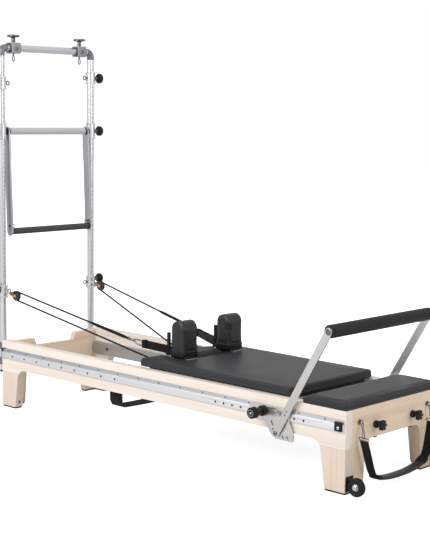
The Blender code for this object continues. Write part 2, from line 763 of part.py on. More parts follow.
def footbar():
    pivot = (PIVOT_X, 0.0, PIVOT_Z)
    inner = ARM_Y - ARM_THICKNESS / 2
    body = rod((BAR_X, -ARM_Y, BAR_Z), (BAR_X, ARM_Y, BAR_Z), BAR_TUBE_R, 24)
    outline = stadium((PIVOT_X, PIVOT_Z), (BAR_X, BAR_Z), ARM_WIDTH)
    bore = circle((PIVOT_X, PIVOT_Z), PIN_R + RUNNING, 20)
    for sign in SIDES.values():
        body = union(body, plate("XZ", sign * ARM_Y, ARM_THICKNESS, outline, [bore]))
    body = cut(body, rod((BAR_X, -0.4, BAR_Z), (BAR_X, 0.4, BAR_Z), BAR_BORE_R))
    add("footbar_frame", body, STEEL, pivot)
    grip = ring((BAR_X, 0, BAR_Z), (0, 1, 0), BAR_TUBE_R + GAP, GRIP_R, 2 * (inner - GAP), 32)
    add("footbar_grip", grip, UPHOLSTERY, pivot)
    for side in SIDES:
        footbar_mount(side)
        footbar_plunger(side)


# Tower -------------------------------------------------------------------------------------

def arc_points(centre, first, second, steps=8):
    """A quarter turn from centre + first to centre + second."""
    centre, first, second = Vector(centre), Vector(first), Vector(second)
    return [centre + first * math.cos(math.pi / 2 * step / steps)
            + second * math.sin(math.pi / 2 * step / steps) for step in range(steps + 1)]


def tower_frame():
    bend_z = TOP_BAR_Z - BEND_R
    top = bend_z - 0.008
    for side, sign in SIDES.items():
        middle = (TOWER_X, sign * UPRIGHT_Y, (UPRIGHT_LOW + top) / 2)
        tube = ring(middle, (0, 0, 1), TUBE_R - 0.0025, TUBE_R, top - UPRIGHT_LOW)
        add(f"upright_{side}", tube, ALUMINIUM)
    bend_y = UPRIGHT_Y - BEND_R
    path = [Vector((TOWER_X, -UPRIGHT_Y, top + GAP)), Vector((TOWER_X, -UPRIGHT_Y, top + 0.004))]
    path += arc_points((TOWER_X, -bend_y, bend_z), (0, -BEND_R, 0), (0, 0, BEND_R))
    path += arc_points((TOWER_X, bend_y, bend_z), (0, 0, BEND_R), (0, BEND_R, 0))
    path += [Vector((TOWER_X, UPRIGHT_Y, top + 0.004)), Vector((TOWER_X, UPRIGHT_Y, top + GAP))]
    add("tower_top_bar", swept(path, TUBE_R, 3), ALUMINIUM)


def knob_shapes(sign, z):
    """A round plunger knob on the outer side of a collar."""
    stem_start = UPRIGHT_Y + TUBE_R + 0.004
    return [rod((TOWER_X, sign * stem_start, z), (TOWER_X, sign * (KNOB_Y + 0.004), z), 0.008, 16),
            rod((TOWER_X, sign * KNOB_Y, z), (TOWER_X, sign * (KNOB_Y + KNOB_THICKNESS), z),
                KNOB_R, 24)]


def tower_collar(name, side, z, height, radius, extras=(), knob_z=None):
    """A sleeve round an upright with a plunger knob on its outer side."""
    sign = SIDES[side]
    centre = (TOWER_X, sign * UPRIGHT_Y, z)
    sleeve = ring(centre, (0, 0, 1), TUBE_R + RUNNING, radius, height)
    knob = knob_shapes(sign, z if knob_z is None else knob_z)
    add(name, union(sleeve, *knob, *extras), ALUMINIUM)


def push_through_bar():
    """Sliding collars, and the frame that swings between them."""
    half_arm = PUSH_ARM_THICKNESS / 2
    inner = PUSH_ARM_Y - half_arm
    pin_reach = inner - 0.030
    for side, sign in SIDES.items():
        boss = rod((TOWER_X, sign * (UPRIGHT_Y - TUBE_R - 0.004), PUSH_Z),
                   (TOWER_X, sign * (PUSH_ARM_Y + half_arm + RUNNING), PUSH_Z), 0.016, 24)
        pin = rod((TOWER_X, sign * (PUSH_ARM_Y + 0.008), PUSH_Z),
                  (TOWER_X, sign * (pin_reach + 0.002), PUSH_Z), PIN_R, 16)
        tower_collar(f"push_collar_{side}", side, PUSH_Z, PUSH_COLLAR_HEIGHT, PUSH_COLLAR_R,
                     (boss, pin))
    pivot = (TOWER_X, 0.0, PUSH_Z)
    low_x = TOWER_X + PUSH_LENGTH * math.sin(PUSH_TILT)
    low_z = PUSH_Z - PUSH_LENGTH * math.cos(PUSH_TILT)
    body = rod((TOWER_X, -PUSH_ARM_Y, PUSH_Z), (TOWER_X, PUSH_ARM_Y, PUSH_Z),
               PUSH_BAR_R, 28)
    outline = stadium((TOWER_X, PUSH_Z), (low_x, low_z), PUSH_ARM_WIDTH)
    bores = []
    for sign in SIDES.values():
        body = union(body, plate("XZ", sign * PUSH_ARM_Y, PUSH_ARM_THICKNESS, outline))
        bores.append(rod((TOWER_X, sign * pin_reach, PUSH_Z),
                         (TOWER_X, sign * (PUSH_ARM_Y + 0.02), PUSH_Z), PIN_R + RUNNING, 16))
    add("push_bar_frame", cut(body, grouped(bores)), ALUMINIUM, pivot)
    reach = inner - GAP
    grip = rod((low_x, -reach, low_z), (low_x, reach, low_z), PUSH_BAR_R, 28)
    add("push_bar_grip", grip, RUBBER, pivot)


def top_slider(side):
    """A block that slides along the top bar, and the T-handled plunger that locks it."""
    centre_y = SIDES[side] * SLIDER_Y
    centre = Vector((TOWER_X, centre_y, TOP_BAR_Z))
    bar = rod((TOWER_X, centre_y - 0.05, TOP_BAR_Z), (TOWER_X, centre_y + 0.05, TOP_BAR_Z),
              TUBE_R + RUNNING, 32)
    well = rod((TOWER_X, centre_y, TOP_BAR_Z), (TOWER_X, centre_y, TOP_BAR_Z + 0.05), 0.0065, 16)
    add(f"top_slider_{side}", cut(block(centre - SLIDER_HALF, centre + SLIDER_HALF), bar, well), ALUMINIUM)
    pin_low = TOP_BAR_Z + TUBE_R + 0.0008
    pin = rod((TOWER_X, centre_y, pin_low), (TOWER_X, centre_y, TOP_BAR_Z + 0.066), 0.006, 16)
    handle = rod((TOWER_X, centre_y, TOP_BAR_Z + 0.062), (TOWER_X, centre_y, TOP_BAR_Z + 0.072),
                 HANDLE_R, 32)
    add(f"slider_plunger_{side}", union(handle, pin), DARK_STEEL,
        (TOWER_X, centre_y, TOP_BAR_Z + SLIDER_HALF.z))


def pulley(side):
    """A pulley block clamped to the upright, and the sheave that turns in it."""
    sign = SIDES[side]
    centre_y = sign * SHEAVE_Y
    reach = SHEAVE_X - TOWER_X
    cheeks = [plate("XZ", centre_y + offset, 0.003,
                    stadium((0.040, 0.632), (SHEAVE_X + 0.004, SHEAVE_Z), 0.022, 4))
              for offset in (-0.012, 0.012)]
    bridge = block((0.028, centre_y - 0.0125, 0.624), (0.040, centre_y + 0.0125, 0.641))
    neck = rod((TOWER_X + TUBE_R + 0.004, centre_y, 0.634),
               (TOWER_X + reach * 0.58, centre_y, 0.634), 0.006, 16)
    axle = rod((SHEAVE_X, centre_y - 0.0125, SHEAVE_Z), (SHEAVE_X, centre_y + 0.0125, SHEAVE_Z),
               0.005, 16)
    tower_collar(f"pulley_block_{side}", side, PULLEY_COLLAR_Z, COLLAR_HEIGHT, COLLAR_R,
                 (neck, bridge, *cheeks, axle), PULLEY_COLLAR_Z + 0.016)
    half = 0.009
    profile = [(SHEAVE_R, half), (SHEAVE_R, 0.0078), (GROOVE_R, 0.0036), (GROOVE_R, -0.0036),
               (SHEAVE_R, -0.0078), (SHEAVE_R, -half), (0.005 + RUNNING, -half),
               (0.005 + RUNNING, half)]
    centre = (SHEAVE_X, centre_y, SHEAVE_Z)
    add(f"pulley_sheave_{side}", turned(profile, centre, (0, 1, 0)), ALUMINIUM, centre)


def tower():
    tower_frame()
    push_through_bar()
    for side in SIDES:
        tower_collar(f"upper_collar_{side}", side, UPPER_COLLAR_Z[side], COLLAR_HEIGHT, COLLAR_R)
        top_slider(side)
        pulley(side)


# Ropes and hand loops ----------------------------------------------------------------------

def rope_route(side):
    """From the snap hook to the pulley, half round the sheave and back to the carriage's cleat."""
    sign = SIDES[side]
    wrap = GROOVE_R + ROPE_R + 0.0004
    sheave = Vector((SHEAVE_X, sign * SHEAVE_Y, SHEAVE_Z))
    hook = Vector((HOOK_X[side], sign * HOOK_Y, HOOK_Z))
    cleat = Vector((CLEAT_X - 0.4 * ROPE_R, sign * CLEAT_Y, CLEAT_ROPE_Z))
    turns = 10
    route = [hook]
    for step in range(turns + 1):
        angle = math.pi / 2 - ROPE_SLOPE + math.pi * step / turns
        route.append(sheave + Vector((math.cos(angle), 0.0, math.sin(angle))) * wrap)
    route.append(cleat)
    return route


def rope(side):
    add(f"rope_{side}", swept(rope_route(side), ROPE_R, 2), WEBBING)


def hand_loop(side):
    """Snap hook and webbing loop, parked round the shoulder rest's peg."""
    sign = SIDES[side]
    start = Vector(LOOP_START[side][:2])
    start.y *= sign
    peg = Vector((PEG_X, sign * PEG_Y))
    band = 0.005
    along = (peg - start).normalized()
    outer = tapered_loop(start, peg, 0.007 + band, 0.0115 + band)
    inner = tapered_loop(start + along * 0.002, peg, 0.007, 0.0115)
    low, high = LOOP_PEG_Z, LOOP_START[side][2]
    mesh = plate("XY", 0.0, LOOP_BAND, outer, [inner])
    for vertex in mesh.vertices:
        share = (vertex.co.xy - peg).dot(start - peg) / (start - peg).length_squared
        vertex.co.z += low + (high - low) * share
    hook = rod((HOOK_X[side] + 0.0025, sign * HOOK_Y, HOOK_Z), (start.x - 0.008, start.y, high),
               0.006, 16)
    add(f"hand_loop_{side}", union(mesh, hook), WEBBING)


def tapered_loop(first, second, first_radius, second_radius, steps=8):
    """The outline of a band pulled round two circles of unlike radius."""
    along = second - first
    heading = math.atan2(along.y, along.x)
    lean = math.asin((first_radius - second_radius) / along.length)
    outline = []
    for centre, radius, start, sweep in (
            (second, second_radius, heading - math.pi / 2 + lean, math.pi - 2 * lean),
            (first, first_radius, heading + math.pi / 2 - lean, math.pi + 2 * lean)):
        for step in range(steps + 1):
            angle = start + sweep * step / steps
            outline.append((centre.x + radius * math.cos(angle),
                            centre.y + radius * math.sin(angle)))
    return outline


wooden_frame()
for rail_side in SIDES:
    outer_rail(rail_side)
    inner_rail(rail_side)
carriage()
foot_end()
footbar()
tower()
for rope_side in SIDES:
    rope(rope_side)
    hand_loop(rope_side)
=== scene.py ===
"""Looks of the pilates reformer with its half-trapeze tower.

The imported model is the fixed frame: every piece takes its place from the CAD nodes' boxes. The
design counts lengths from the wooden frame's head-end face, so place() does the same here.
"""

import json
import math

import bmesh
import bpy
from mathutils import Matrix, Vector
from mathutils.bvhtree import BVHTree


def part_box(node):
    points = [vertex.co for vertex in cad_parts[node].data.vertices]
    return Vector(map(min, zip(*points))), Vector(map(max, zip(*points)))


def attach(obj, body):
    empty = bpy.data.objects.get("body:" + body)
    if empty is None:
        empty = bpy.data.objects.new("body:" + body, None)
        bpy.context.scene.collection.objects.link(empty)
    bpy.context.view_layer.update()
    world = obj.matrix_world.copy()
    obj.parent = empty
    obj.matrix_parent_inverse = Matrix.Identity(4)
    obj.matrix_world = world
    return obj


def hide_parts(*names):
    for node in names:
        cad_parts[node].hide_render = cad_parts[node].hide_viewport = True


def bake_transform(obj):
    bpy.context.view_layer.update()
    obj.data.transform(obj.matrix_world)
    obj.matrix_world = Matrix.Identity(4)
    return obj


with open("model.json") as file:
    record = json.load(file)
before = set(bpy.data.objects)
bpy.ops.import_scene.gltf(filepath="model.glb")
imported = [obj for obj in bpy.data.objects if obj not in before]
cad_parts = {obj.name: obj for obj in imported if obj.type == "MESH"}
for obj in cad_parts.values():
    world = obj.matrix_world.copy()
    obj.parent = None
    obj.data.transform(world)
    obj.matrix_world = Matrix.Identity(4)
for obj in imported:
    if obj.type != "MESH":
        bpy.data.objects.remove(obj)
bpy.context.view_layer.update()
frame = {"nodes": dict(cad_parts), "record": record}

SIDES = {"left": 1.0, "right": -1.0}
HEAD_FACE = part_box("head_panel")[0].x
BODY_OF = {node: body for body, members in frame["record"]["behaviour"]["bodies"].items()
           for node in members}
X, Y, Z = Vector((1, 0, 0)), Vector((0, 1, 0)), Vector((0, 0, 1))


def place(x, y, z):
    """A point counted from the wooden frame's head-end face, as the design counts it."""
    return Vector((HEAD_FACE + x, y, z))


def middle(node):
    """The centre of a CAD node's box."""
    low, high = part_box(node)
    return (low + high) / 2


# Camera, floor and light -------------------------------------------------------------------

CAMERA_PLACE = place(5.683, -4.668, 1.628)
CAMERA_AZIMUTH = math.radians(43.287)
CAMERA_PITCH = math.radians(6.835)
CAMERA_ROLL = math.radians(0.637)
CAMERA_LENS = 86.15
SURROUND_LIGHT = 0.68
BACKDROP_GLOW = 1.0
FLOOR_LIGHTING = 0.66             # how much light the floor gives back to the object
FLOOR_GLOW_NEAR, FLOOR_GLOW_FAR = 0.78, 1.0
FLOOR_FADE = (1.6, 6.0)           # the distances between which the floor's glow grows
WHITE = (1.0, 1.0, 1.0, 1.0)
AREA_LIGHTS = [                    # name, place, target, size and power
    ("key", (-0.5, -5.5, 3.6), (0.0, 0.0, 0.4), (5.0, 3.0), 250.0),
    ("side", (5.5, 1.0, 2.6), (0.4, 0.0, 0.4), (3.0, 2.5), 60.0),
    ("top", (0.0, 0.5, 5.5), (0.0, 0.0, 0.0), (5.0, 4.0), 18.0)]


def add_camera():
    """The camera, from its place, its three angles and its lens."""
    data = bpy.data.cameras.new("camera")
    data.lens = CAMERA_LENS
    data.sensor_width = 36.0
    data.clip_end = 60.0
    camera = bpy.data.objects.new("camera", data)
    back = Vector((math.sin(CAMERA_AZIMUTH) * math.cos(CAMERA_PITCH),
                   -math.cos(CAMERA_AZIMUTH) * math.cos(CAMERA_PITCH), math.sin(CAMERA_PITCH)))
    right = (-back).cross(Z).normalized()
    up = back.cross(right)
    turned_right = right * math.cos(CAMERA_ROLL) + up * math.sin(CAMERA_ROLL)
    turned_up = up * math.cos(CAMERA_ROLL) - right * math.sin(CAMERA_ROLL)
    camera.matrix_world = Matrix.Translation(CAMERA_PLACE) @ Matrix(
        (turned_right, turned_up, back)).transposed().to_4x4()
    bpy.context.scene.collection.objects.link(camera)
    bpy.context.scene.camera = camera


def add_area_light(name, location, target, size, power):
    data = bpy.data.lights.new(name, "AREA")
    data.shape = "RECTANGLE"
    data.size, data.size_y = size
    data.energy = power
    light = bpy.data.objects.new(name, data)
    light.location = location
    light.rotation_euler = (Vector(location) - Vector(target)).to_track_quat("Z", "Y").to_euler()
    bpy.context.scene.collection.objects.link(light)


def seen_or_lighting(tree, socket, seen, lighting):
    """One strength where the surface is looked at, and another where it lights other things."""
    rays = tree.nodes.new("ShaderNodeLightPath")
    pick = tree.nodes.new("ShaderNodeMapRange")
    pick.inputs["To Min"].default_value = lighting
    pick.inputs["To Max"].default_value = seen
    tree.links.new(rays.outputs["Is Camera Ray"], pick.inputs["Value"])
    tree.links.new(pick.outputs["Result"], socket)


def add_studio():
    """A pale floor that runs into a pale surround, with soft light from above and both sides."""
    world = bpy.data.worlds.new("surround")
    world.use_nodes = True
    background = world.node_tree.nodes["Background"]
    background.inputs["Color"].default_value = WHITE
    seen_or_lighting(world.node_tree, background.inputs["Strength"], BACKDROP_GLOW, SURROUND_LIGHT)
    bpy.context.scene.world = world
    bpy.context.scene.view_settings.view_transform = "Standard"
    bm = bmesh.new()
    bmesh.ops.create_grid(bm, x_segments=1, y_segments=1, size=30.0)
    mesh = bpy.data.meshes.new("floor")
    bm.to_mesh(mesh)
    bm.free()
    floor = bpy.data.objects.new("floor", mesh)
    bpy.context.scene.collection.objects.link(floor)
    paint = bpy.data.materials.new("floor_paper")
    paint.use_nodes = True
    tree = paint.node_tree
    shader = tree.nodes["Principled BSDF"]
    shader.inputs["Roughness"].default_value = 1.0
    shader.inputs["Specular IOR Level"].default_value = 0.0
    shader.inputs["Emission Color"].default_value = WHITE
    shader.inputs["Base Color"].default_value = (FLOOR_LIGHTING,) * 3 + (1.0,)
    distance = tree.nodes.new("ShaderNodeVectorMath")
    distance.operation = "LENGTH"
    tree.links.new(tree.nodes.new("ShaderNodeTexCoord").outputs["Object"], distance.inputs[0])
    fade = tree.nodes.new("ShaderNodeMapRange")
    for key, value in (("From Min", FLOOR_FADE[0]), ("From Max", FLOOR_FADE[1]),
                       ("To Min", FLOOR_GLOW_NEAR), ("To Max", FLOOR_GLOW_FAR)):
        fade.inputs[key].default_value = value
    tree.links.new(distance.outputs["Value"], fade.inputs["Value"])
    seen = tree.nodes.new("ShaderNodeMath")
    seen.operation = "MULTIPLY"
    tree.links.new(fade.outputs["Result"], seen.inputs[0])
    seen_or_lighting(tree, seen.inputs[1], 1.0, 0.0)
    tree.links.new(seen.outputs["Value"], shader.inputs["Emission Strength"])
    mesh.materials.append(paint)
    for light in AREA_LIGHTS:
        add_area_light(*light)


# Materials ---------------------------------------------------------------------------------

def srgb(red, green, blue):
    """A linear colour from display values of 0 to 255."""
    return tuple((value / 255) ** 2.2 for value in (red, green, blue)) + (1.0,)


class Look:
    """A material in the making: its node tree, its shader and short ways to add nodes."""

    def __init__(self, name, colour, roughness, metallic=0.0, **sockets):
        self.material = bpy.data.materials.new(name)
        self.material.use_nodes = True
        self.tree = self.material.node_tree
        self.shader = self.tree.nodes["Principled BSDF"]
        self.set(self.shader, {"Base Color": colour, "Roughness": roughness,
                               "Metallic": metallic})
        self.set(self.shader, {key.replace("_", " "): value for key, value in sockets.items()})

    def set(self, node, inputs):
        """Set or link a node's inputs by name or number."""
        for key, value in inputs.items():
            if isinstance(value, bpy.types.NodeSocket):
                self.tree.links.new(value, node.inputs[key])
            else:
                node.inputs[key].default_value = value

    def node(self, kind, inputs, **settings):
        """A new node; its first output is what comes back."""
        made = self.tree.nodes.new("ShaderNode" + kind)
        for key, value in settings.items():
            setattr(made, key, value)
        self.set(made, inputs)
        return made.outputs[0]

    def position(self, scale=(1, 1, 1)):
        """Places in the object's own metres, stretched."""
        coordinates = self.tree.nodes.new("ShaderNodeTexCoord").outputs["Object"]
        return self.node("Mapping", {"Vector": coordinates, "Scale": scale})

    def surface(self, turn=0.0):
        """Metres across and along a swept strap or rope, turned."""
        coordinates = self.tree.nodes.new("ShaderNodeTexCoord").outputs["UV"]
        return self.node("Mapping", {"Vector": coordinates, "Rotation": (0, 0, turn)})

    def noise(self, vector, scale, detail, roughness, distortion=0.0):
        return self.node("TexNoise", {"Vector": vector, "Scale": scale, "Detail": detail,
                                      "Roughness": roughness, "Distortion": distortion})

    def math(self, operation, first, second=0.0):
        return self.node("Math", {0: first, 1: second}, operation=operation)

    def ramp(self, factor, *stops):
        """A colour for each (position, colour) stop along factor."""
        made = self.tree.nodes.new("ShaderNodeValToRGB")
        elements = made.color_ramp.elements
        while len(elements) < len(stops):
            elements.new(0.5)
        for element, (position, colour) in zip(elements, stops):
            element.position = position
            element.color = colour
        self.tree.links.new(factor, made.inputs[0])
        return made.outputs["Color"]

    def between(self, factor, low, high):
        """Factor's 0 to 1 stretched to low to high."""
        return self.node("MapRange", {"Value": factor, "To Min": low, "To Max": high})

    def colour(self, socket):
        self.set(self.shader, {"Base Color": socket})

    def roughness(self, socket):
        self.set(self.shader, {"Roughness": socket})

    def bump(self, height, distance, strength):
        """Relief on top of what is already there."""
        made = self.tree.nodes.new("ShaderNodeBump")
        self.set(made, {"Height": height, "Distance": distance, "Strength": strength})
        links = self.shader.inputs["Normal"].links
        if links:
            self.tree.links.new(links[0].from_socket, made.inputs["Normal"])
        self.tree.links.new(made.outputs["Normal"], self.shader.inputs["Normal"])


LEG_JOINT_Z = 0.200                # where the upright leg section is glued to the beam
LEG_JOINT_LINE = 0.0006            # half the width of the glue line
ACROSS_GRAIN, ALONG_GRAIN = 26.0, 1.1
WEBBING_PITCH = 0.0022
BRAID_PITCH = 0.0042


def maple(name, grain, tone_dark, tone_middle, tone_light, leg_tint):
    """Lacquered maple. grain is the axis the fibres run along; legs run upright below a joint."""
    look = Look(name, tone_middle, 0.5, Specular_IOR_Level=0.3, Coat_Weight=0.1,
                Coat_Roughness=0.3)
    fibres = look.position([ALONG_GRAIN if axis == grain else ACROSS_GRAIN for axis in "XYZ"])
    upright = look.position((ACROSS_GRAIN, ACROSS_GRAIN, ALONG_GRAIN))
    height = look.node("SeparateXYZ", {"Vector": look.position()}).node.outputs["Z"]
    below = look.math("LESS_THAN", height, LEG_JOINT_Z)
    mixed = look.tree.nodes.new("ShaderNodeMix")
    mixed.data_type = "VECTOR"
    look.set(mixed, {0: below, 4: fibres, 5: upright})
    fibres = mixed.outputs[1]
    broad = look.noise(fibres, 0.55, 3.0, 0.5, 0.8)
    fine = look.noise(fibres, 3.2, 6.0, 0.65, 0.3)
    pores = look.noise(fibres, 14.0, 2.0, 0.5)
    tone = look.math("ADD", look.math("MULTIPLY", broad, 0.55), look.math("MULTIPLY", fine, 0.45))
    board = look.ramp(tone, (0.30, tone_dark), (0.48, tone_middle), (0.70, tone_light))
    tinted = look.tree.nodes.new("ShaderNodeMix")
    tinted.data_type = "RGBA"
    tinted.blend_type = "MULTIPLY"
    look.set(tinted, {0: below, 6: board, 7: leg_tint})
    look.colour(tinted.outputs[2])
    look.roughness(look.between(fine, 0.38, 0.55))
    look.bump(pores, 0.0002, 0.5)
    offset = look.math("ABSOLUTE", look.math("SUBTRACT", height, LEG_JOINT_Z))
    look.bump(look.math("GREATER_THAN", offset, LEG_JOINT_LINE), 0.0004, 0.8)
    return look.material


def metal(name, colour, roughness, grain=(1, 1, 1), spread=0.08, depth=0.00003):
    """Metal with fine draw lines along the axis whose grain value is small."""
    look = Look(name, colour, roughness, 1.0)
    lines = look.noise(look.position(grain), 900.0, 2.0, 0.6)
    clouds = look.noise(look.position(), 9.0, 3.0, 0.5)
    mixed = look.math("ADD", look.math("MULTIPLY", lines, 0.6), look.math("MULTIPLY", clouds, 0.4))
    look.roughness(look.between(mixed, roughness - spread, roughness + spread))
    look.bump(lines, depth, 0.4)
    return look.material


def plastic(name, colour, roughness, grain_scale=1400.0, depth=0.00006):
    """Moulded or coated surface with a fine sparkle of texture and slight handling marks."""
    look = Look(name, colour, roughness, Specular_IOR_Level=0.28)
    grain = look.noise(look.position(), grain_scale, 2.0, 0.6)
    marks = look.noise(look.position(), 26.0, 5.0, 0.65)
    look.roughness(look.between(marks, roughness - 0.08, roughness + 0.10))
    look.bump(grain, depth, 0.5)
    return look.material


def vinyl(name, colour, roughness, grain_scale=620.0, depth=0.00022, gloss=0.3):
    """Upholstery vinyl: pebbled grain, with slow changes of sheen where it has been used."""
    look = Look(name, colour, roughness, Specular_IOR_Level=gloss, Sheen_Weight=0.02)
    warp = look.position()
    pebbles = look.node("TexVoronoi", {"Vector": warp, "Scale": grain_scale})
    pores = look.noise(warp, grain_scale * 3.5, 2.0, 0.6)
    wear = look.noise(warp, 5.0, 4.0, 0.6)
    look.colour(look.ramp(wear, (0.35, colour), (0.75, tint(colour, 1.28))))
    look.roughness(look.between(wear, roughness - 0.05, roughness + 0.09))
    look.bump(pores, depth * 0.4, 0.5)
    look.bump(pebbles, depth, 0.7)
    return look.material


def wave_scale(pitch):
    """The scale at which a wave texture repeats every pitch metres."""
    return 2 * math.pi / (20 * pitch)


def tint(colour, factor, lift=0.0):
    """A colour made lighter by a factor and a lift."""
    return [min(1.0, channel * factor + lift) for channel in colour[:3]] + [1.0]


def webbing(name, colour):
    """Woven strap: ribs across it, and finer ribs along it, their raised threads painted lighter
    as highlight.
    """
    look = Look(name, colour, 0.78, Specular_IOR_Level=0.2, Sheen_Weight=0.04)
    band = wave_scale(WEBBING_PITCH)
    ribs = look.node("TexWave", {"Vector": look.surface(), "Scale": band, "Distortion": 0.4},
                     bands_direction="Y")
    threads = look.node("TexWave", {"Vector": look.surface(), "Scale": band * 1.6,
                                    "Distortion": 0.2}, bands_direction="X")
    weave = look.math("MULTIPLY", ribs, threads)
    # Colour follows the weave's height: raised threads painted lighter as highlight, hollows
    # darker as shade.
    look.colour(look.ramp(weave, (0.15, colour), (0.85, tint(colour, 2.1, 0.004))))
    look.bump(weave, 0.0005, 0.8)
    return look.material


def braid(name, colour):
    """Braided rope: two sets of strands that wind round it in opposite directions, their crowns
    painted lighter as highlight.
    """
    look = Look(name, colour, 0.7, Specular_IOR_Level=0.2, Sheen_Weight=0.03)
    band = wave_scale(BRAID_PITCH)
    strands = [look.node("TexWave", {"Vector": look.surface(angle), "Scale": band},
                         bands_direction="X") for angle in (0.7, -0.7)]
    weave = look.math("MAXIMUM", *strands)
    # Colour follows the strands' height: crowns painted lighter as highlight, grooves darker as
    # shade.
    look.colour(look.ramp(weave, (0.3, colour), (1.0, tint(colour, 2.4, 0.006))))
    look.bump(weave, 0.0008, 0.9)
    return look.material


# Two copies of one maple: the side boards' copy is paler, the end panels' copy darker and richer.
# This is partly painted light and shade, for the side faces standing in brighter light than the
# ends, and partly the boards' own grain and tone.
MAPLE_SIDE_LIT_PALER = maple("maple_side_lit_paler", "X", srgb(216, 199, 184), srgb(231, 219, 208),
                   srgb(238, 229, 220), (0.90, 0.84, 0.79, 1.0))
MAPLE_END_SHADED_RICHER = maple("maple_end_shaded_richer", "Y", srgb(208, 180, 150), srgb(226, 203, 178),
                  srgb(234, 215, 194), (0.97, 0.96, 0.94, 1.0))
RAIL = metal("rail_anodised", srgb(240, 240, 243), 0.42, (0.01, 1, 1))
TRACK = metal("track_anodised", srgb(190, 191, 194), 0.4, (0.01, 1, 1))
TUBE = metal("tube_satin", srgb(226, 227, 230), 0.30, (1, 1, 0.01))
TUBE_ACROSS = metal("top_tube_satin", srgb(222, 224, 228), 0.32, (1, 0.01, 1))
COLLAR = metal("collar_satin", srgb(226, 227, 230), 0.24, (1, 1, 0.02))
CAST = metal("elbow_cast", srgb(138, 140, 143), 0.48, spread=0.12, depth=0.0002)
POLISHED = metal("polished_plate", srgb(217, 215, 213), 0.34, (0.02, 1, 0.02), 0.08, 0.00002)
CHROME = metal("chrome", srgb(225, 226, 228), 0.09, spread=0.04, depth=0.00001)
COPPER = metal("pulley_bronze", srgb(190, 138, 110), 0.3)
SPRING_WIRE = metal("spring_wire", srgb(165, 166, 168), 0.28)
DARK_METAL = metal("dark_steel", srgb(112, 113, 116), 0.38)
DECK_VINYL = vinyl("deck_vinyl", srgb(44, 44, 47), 0.42)
BLOCK_VINYL = vinyl("block_vinyl", srgb(31, 31, 34), 0.36, 560.0, 0.0003, 0.5)
GRIP_VINYL = vinyl("grip_vinyl", srgb(24, 24, 26), 0.5, 560.0, 0.0003)
PIPING = vinyl("piping_vinyl", srgb(48, 48, 51), 0.36, 1100.0, 0.0001)
BLACK = plastic("black_plastic", srgb(34, 34, 36), 0.42)
GLOSS_BLACK = plastic("base_plastic", srgb(28, 28, 30), 0.3, 2200.0, 0.00003)
RUBBER = plastic("black_rubber", srgb(32, 32, 34), 0.72, 700.0, 0.00012)
FOAM = plastic("foam_sleeve", srgb(74, 74, 78), 0.75, 520.0, 0.0003)
POWDER = plastic("powder_coat", srgb(30, 30, 32), 0.55, 900.0, 0.0001)
STRAP = webbing("strap_webbing", srgb(24, 24, 26))
LOOP_OUTER = webbing("loop_webbing", srgb(30, 30, 33))
LOOP_INNER = webbing("loop_lining", srgb(40, 40, 44))
ROPE = braid("rope_braid", srgb(30, 30, 33))
# Near black with no shine: painted shadow inside holes.
HOLE = plastic("hole_shadow", srgb(12, 12, 13), 0.8)
# Painted shade for index holes, laid on tubes as flush discs.
INDEX_SHADOW = plastic("index_shadow", srgb(140, 140, 143), 0.6)
# A darker copy of the rail's metal: painted shade in its recessed band.
RAIL_RECESS_SHADE = metal("rail_recess_painted_shade", srgb(190, 191, 194), 0.45, (0.01, 1, 1))
SLIDER = metal("slider_satin", srgb(168, 170, 173), 0.36)
FITTING = metal("fitting_steel", srgb(126, 126, 129), 0.3, spread=0.06)
SHEAVE = metal("sheave_turned", srgb(92, 92, 95), 0.25)
PUSH_ARM = metal("push_arm_satin", srgb(190, 191, 195), 0.34, (1, 1, 0.02))
ROLLER = plastic("roller_sleeve", srgb(196, 196, 200), 0.5, 900.0)
KNOB_RING = plastic("knob_ring", srgb(120, 120, 124), 0.4)


# Making pieces -----------------------------------------------------------------------------

SHARP_ANGLE = 32.0                 # degrees; a flatter edge than this is shaded smooth
ROUND_PROFILE = 0.6
QUARTER_TURN, HALF_TURN, FULL_TURN = math.pi / 2, math.pi, 2 * math.pi


def mesh_of(bm):
    """A mesh from a finished BMesh, with its faces turned outwards."""
    mesh = bpy.data.meshes.new("shape")
    bmesh.ops.recalc_face_normals(bm, faces=bm.faces)
    bm.to_mesh(mesh)
    bm.free()
    return mesh


def round_edges(bm, edges, width, segments=2):
    """Bevel a BMesh's edges in the rounded profile that every piece shares."""
    bmesh.ops.bevel(bm, geom=edges, offset=width, segments=segments, profile=ROUND_PROFILE,
                    affect="EDGES", clamp_overlap=True)


def aimed(bm, centre, axis):
    """Carry a shape that stands on the origin along Z to its place and its axis."""
    turn = Vector(axis).to_track_quat("Z", "Y").to_matrix().to_4x4()
    bmesh.ops.transform(bm, matrix=Matrix.Translation(centre) @ turn, verts=bm.verts)
    return mesh_of(bm)


def loft(rings):
    """The BMesh of a closed shape through rings of as many points each."""
    bm = bmesh.new()
    made = [[bm.verts.new(point) for point in ring] for ring in rings]
    for lower, upper in zip(made, made[1:]):
        for step in range(len(lower)):
            after = (step + 1) % len(lower)
            bm.faces.new((lower[step], lower[after], upper[after], upper[step]))
    bm.faces.new(made[0])
    bm.faces.new(made[-1])
    return bm


def arc(start, turn, steps):
    """The cosines and sines of evenly spaced angles, from start through a turn."""
    angles = [start + turn * step / steps for step in range(steps + 1)]
    return [(math.cos(angle), math.sin(angle)) for angle in angles]


def around(radius, steps, height=0.0):
    """Points round a circle about Z."""
    return [(radius * cosine, radius * sine, height)
            for cosine, sine in arc(0, FULL_TURN, steps)[:-1]]


def joined(meshes):
    """Several meshes as one."""
    bm = bmesh.new()
    for mesh in meshes:
        bm.from_mesh(mesh)
    return mesh_of(bm)


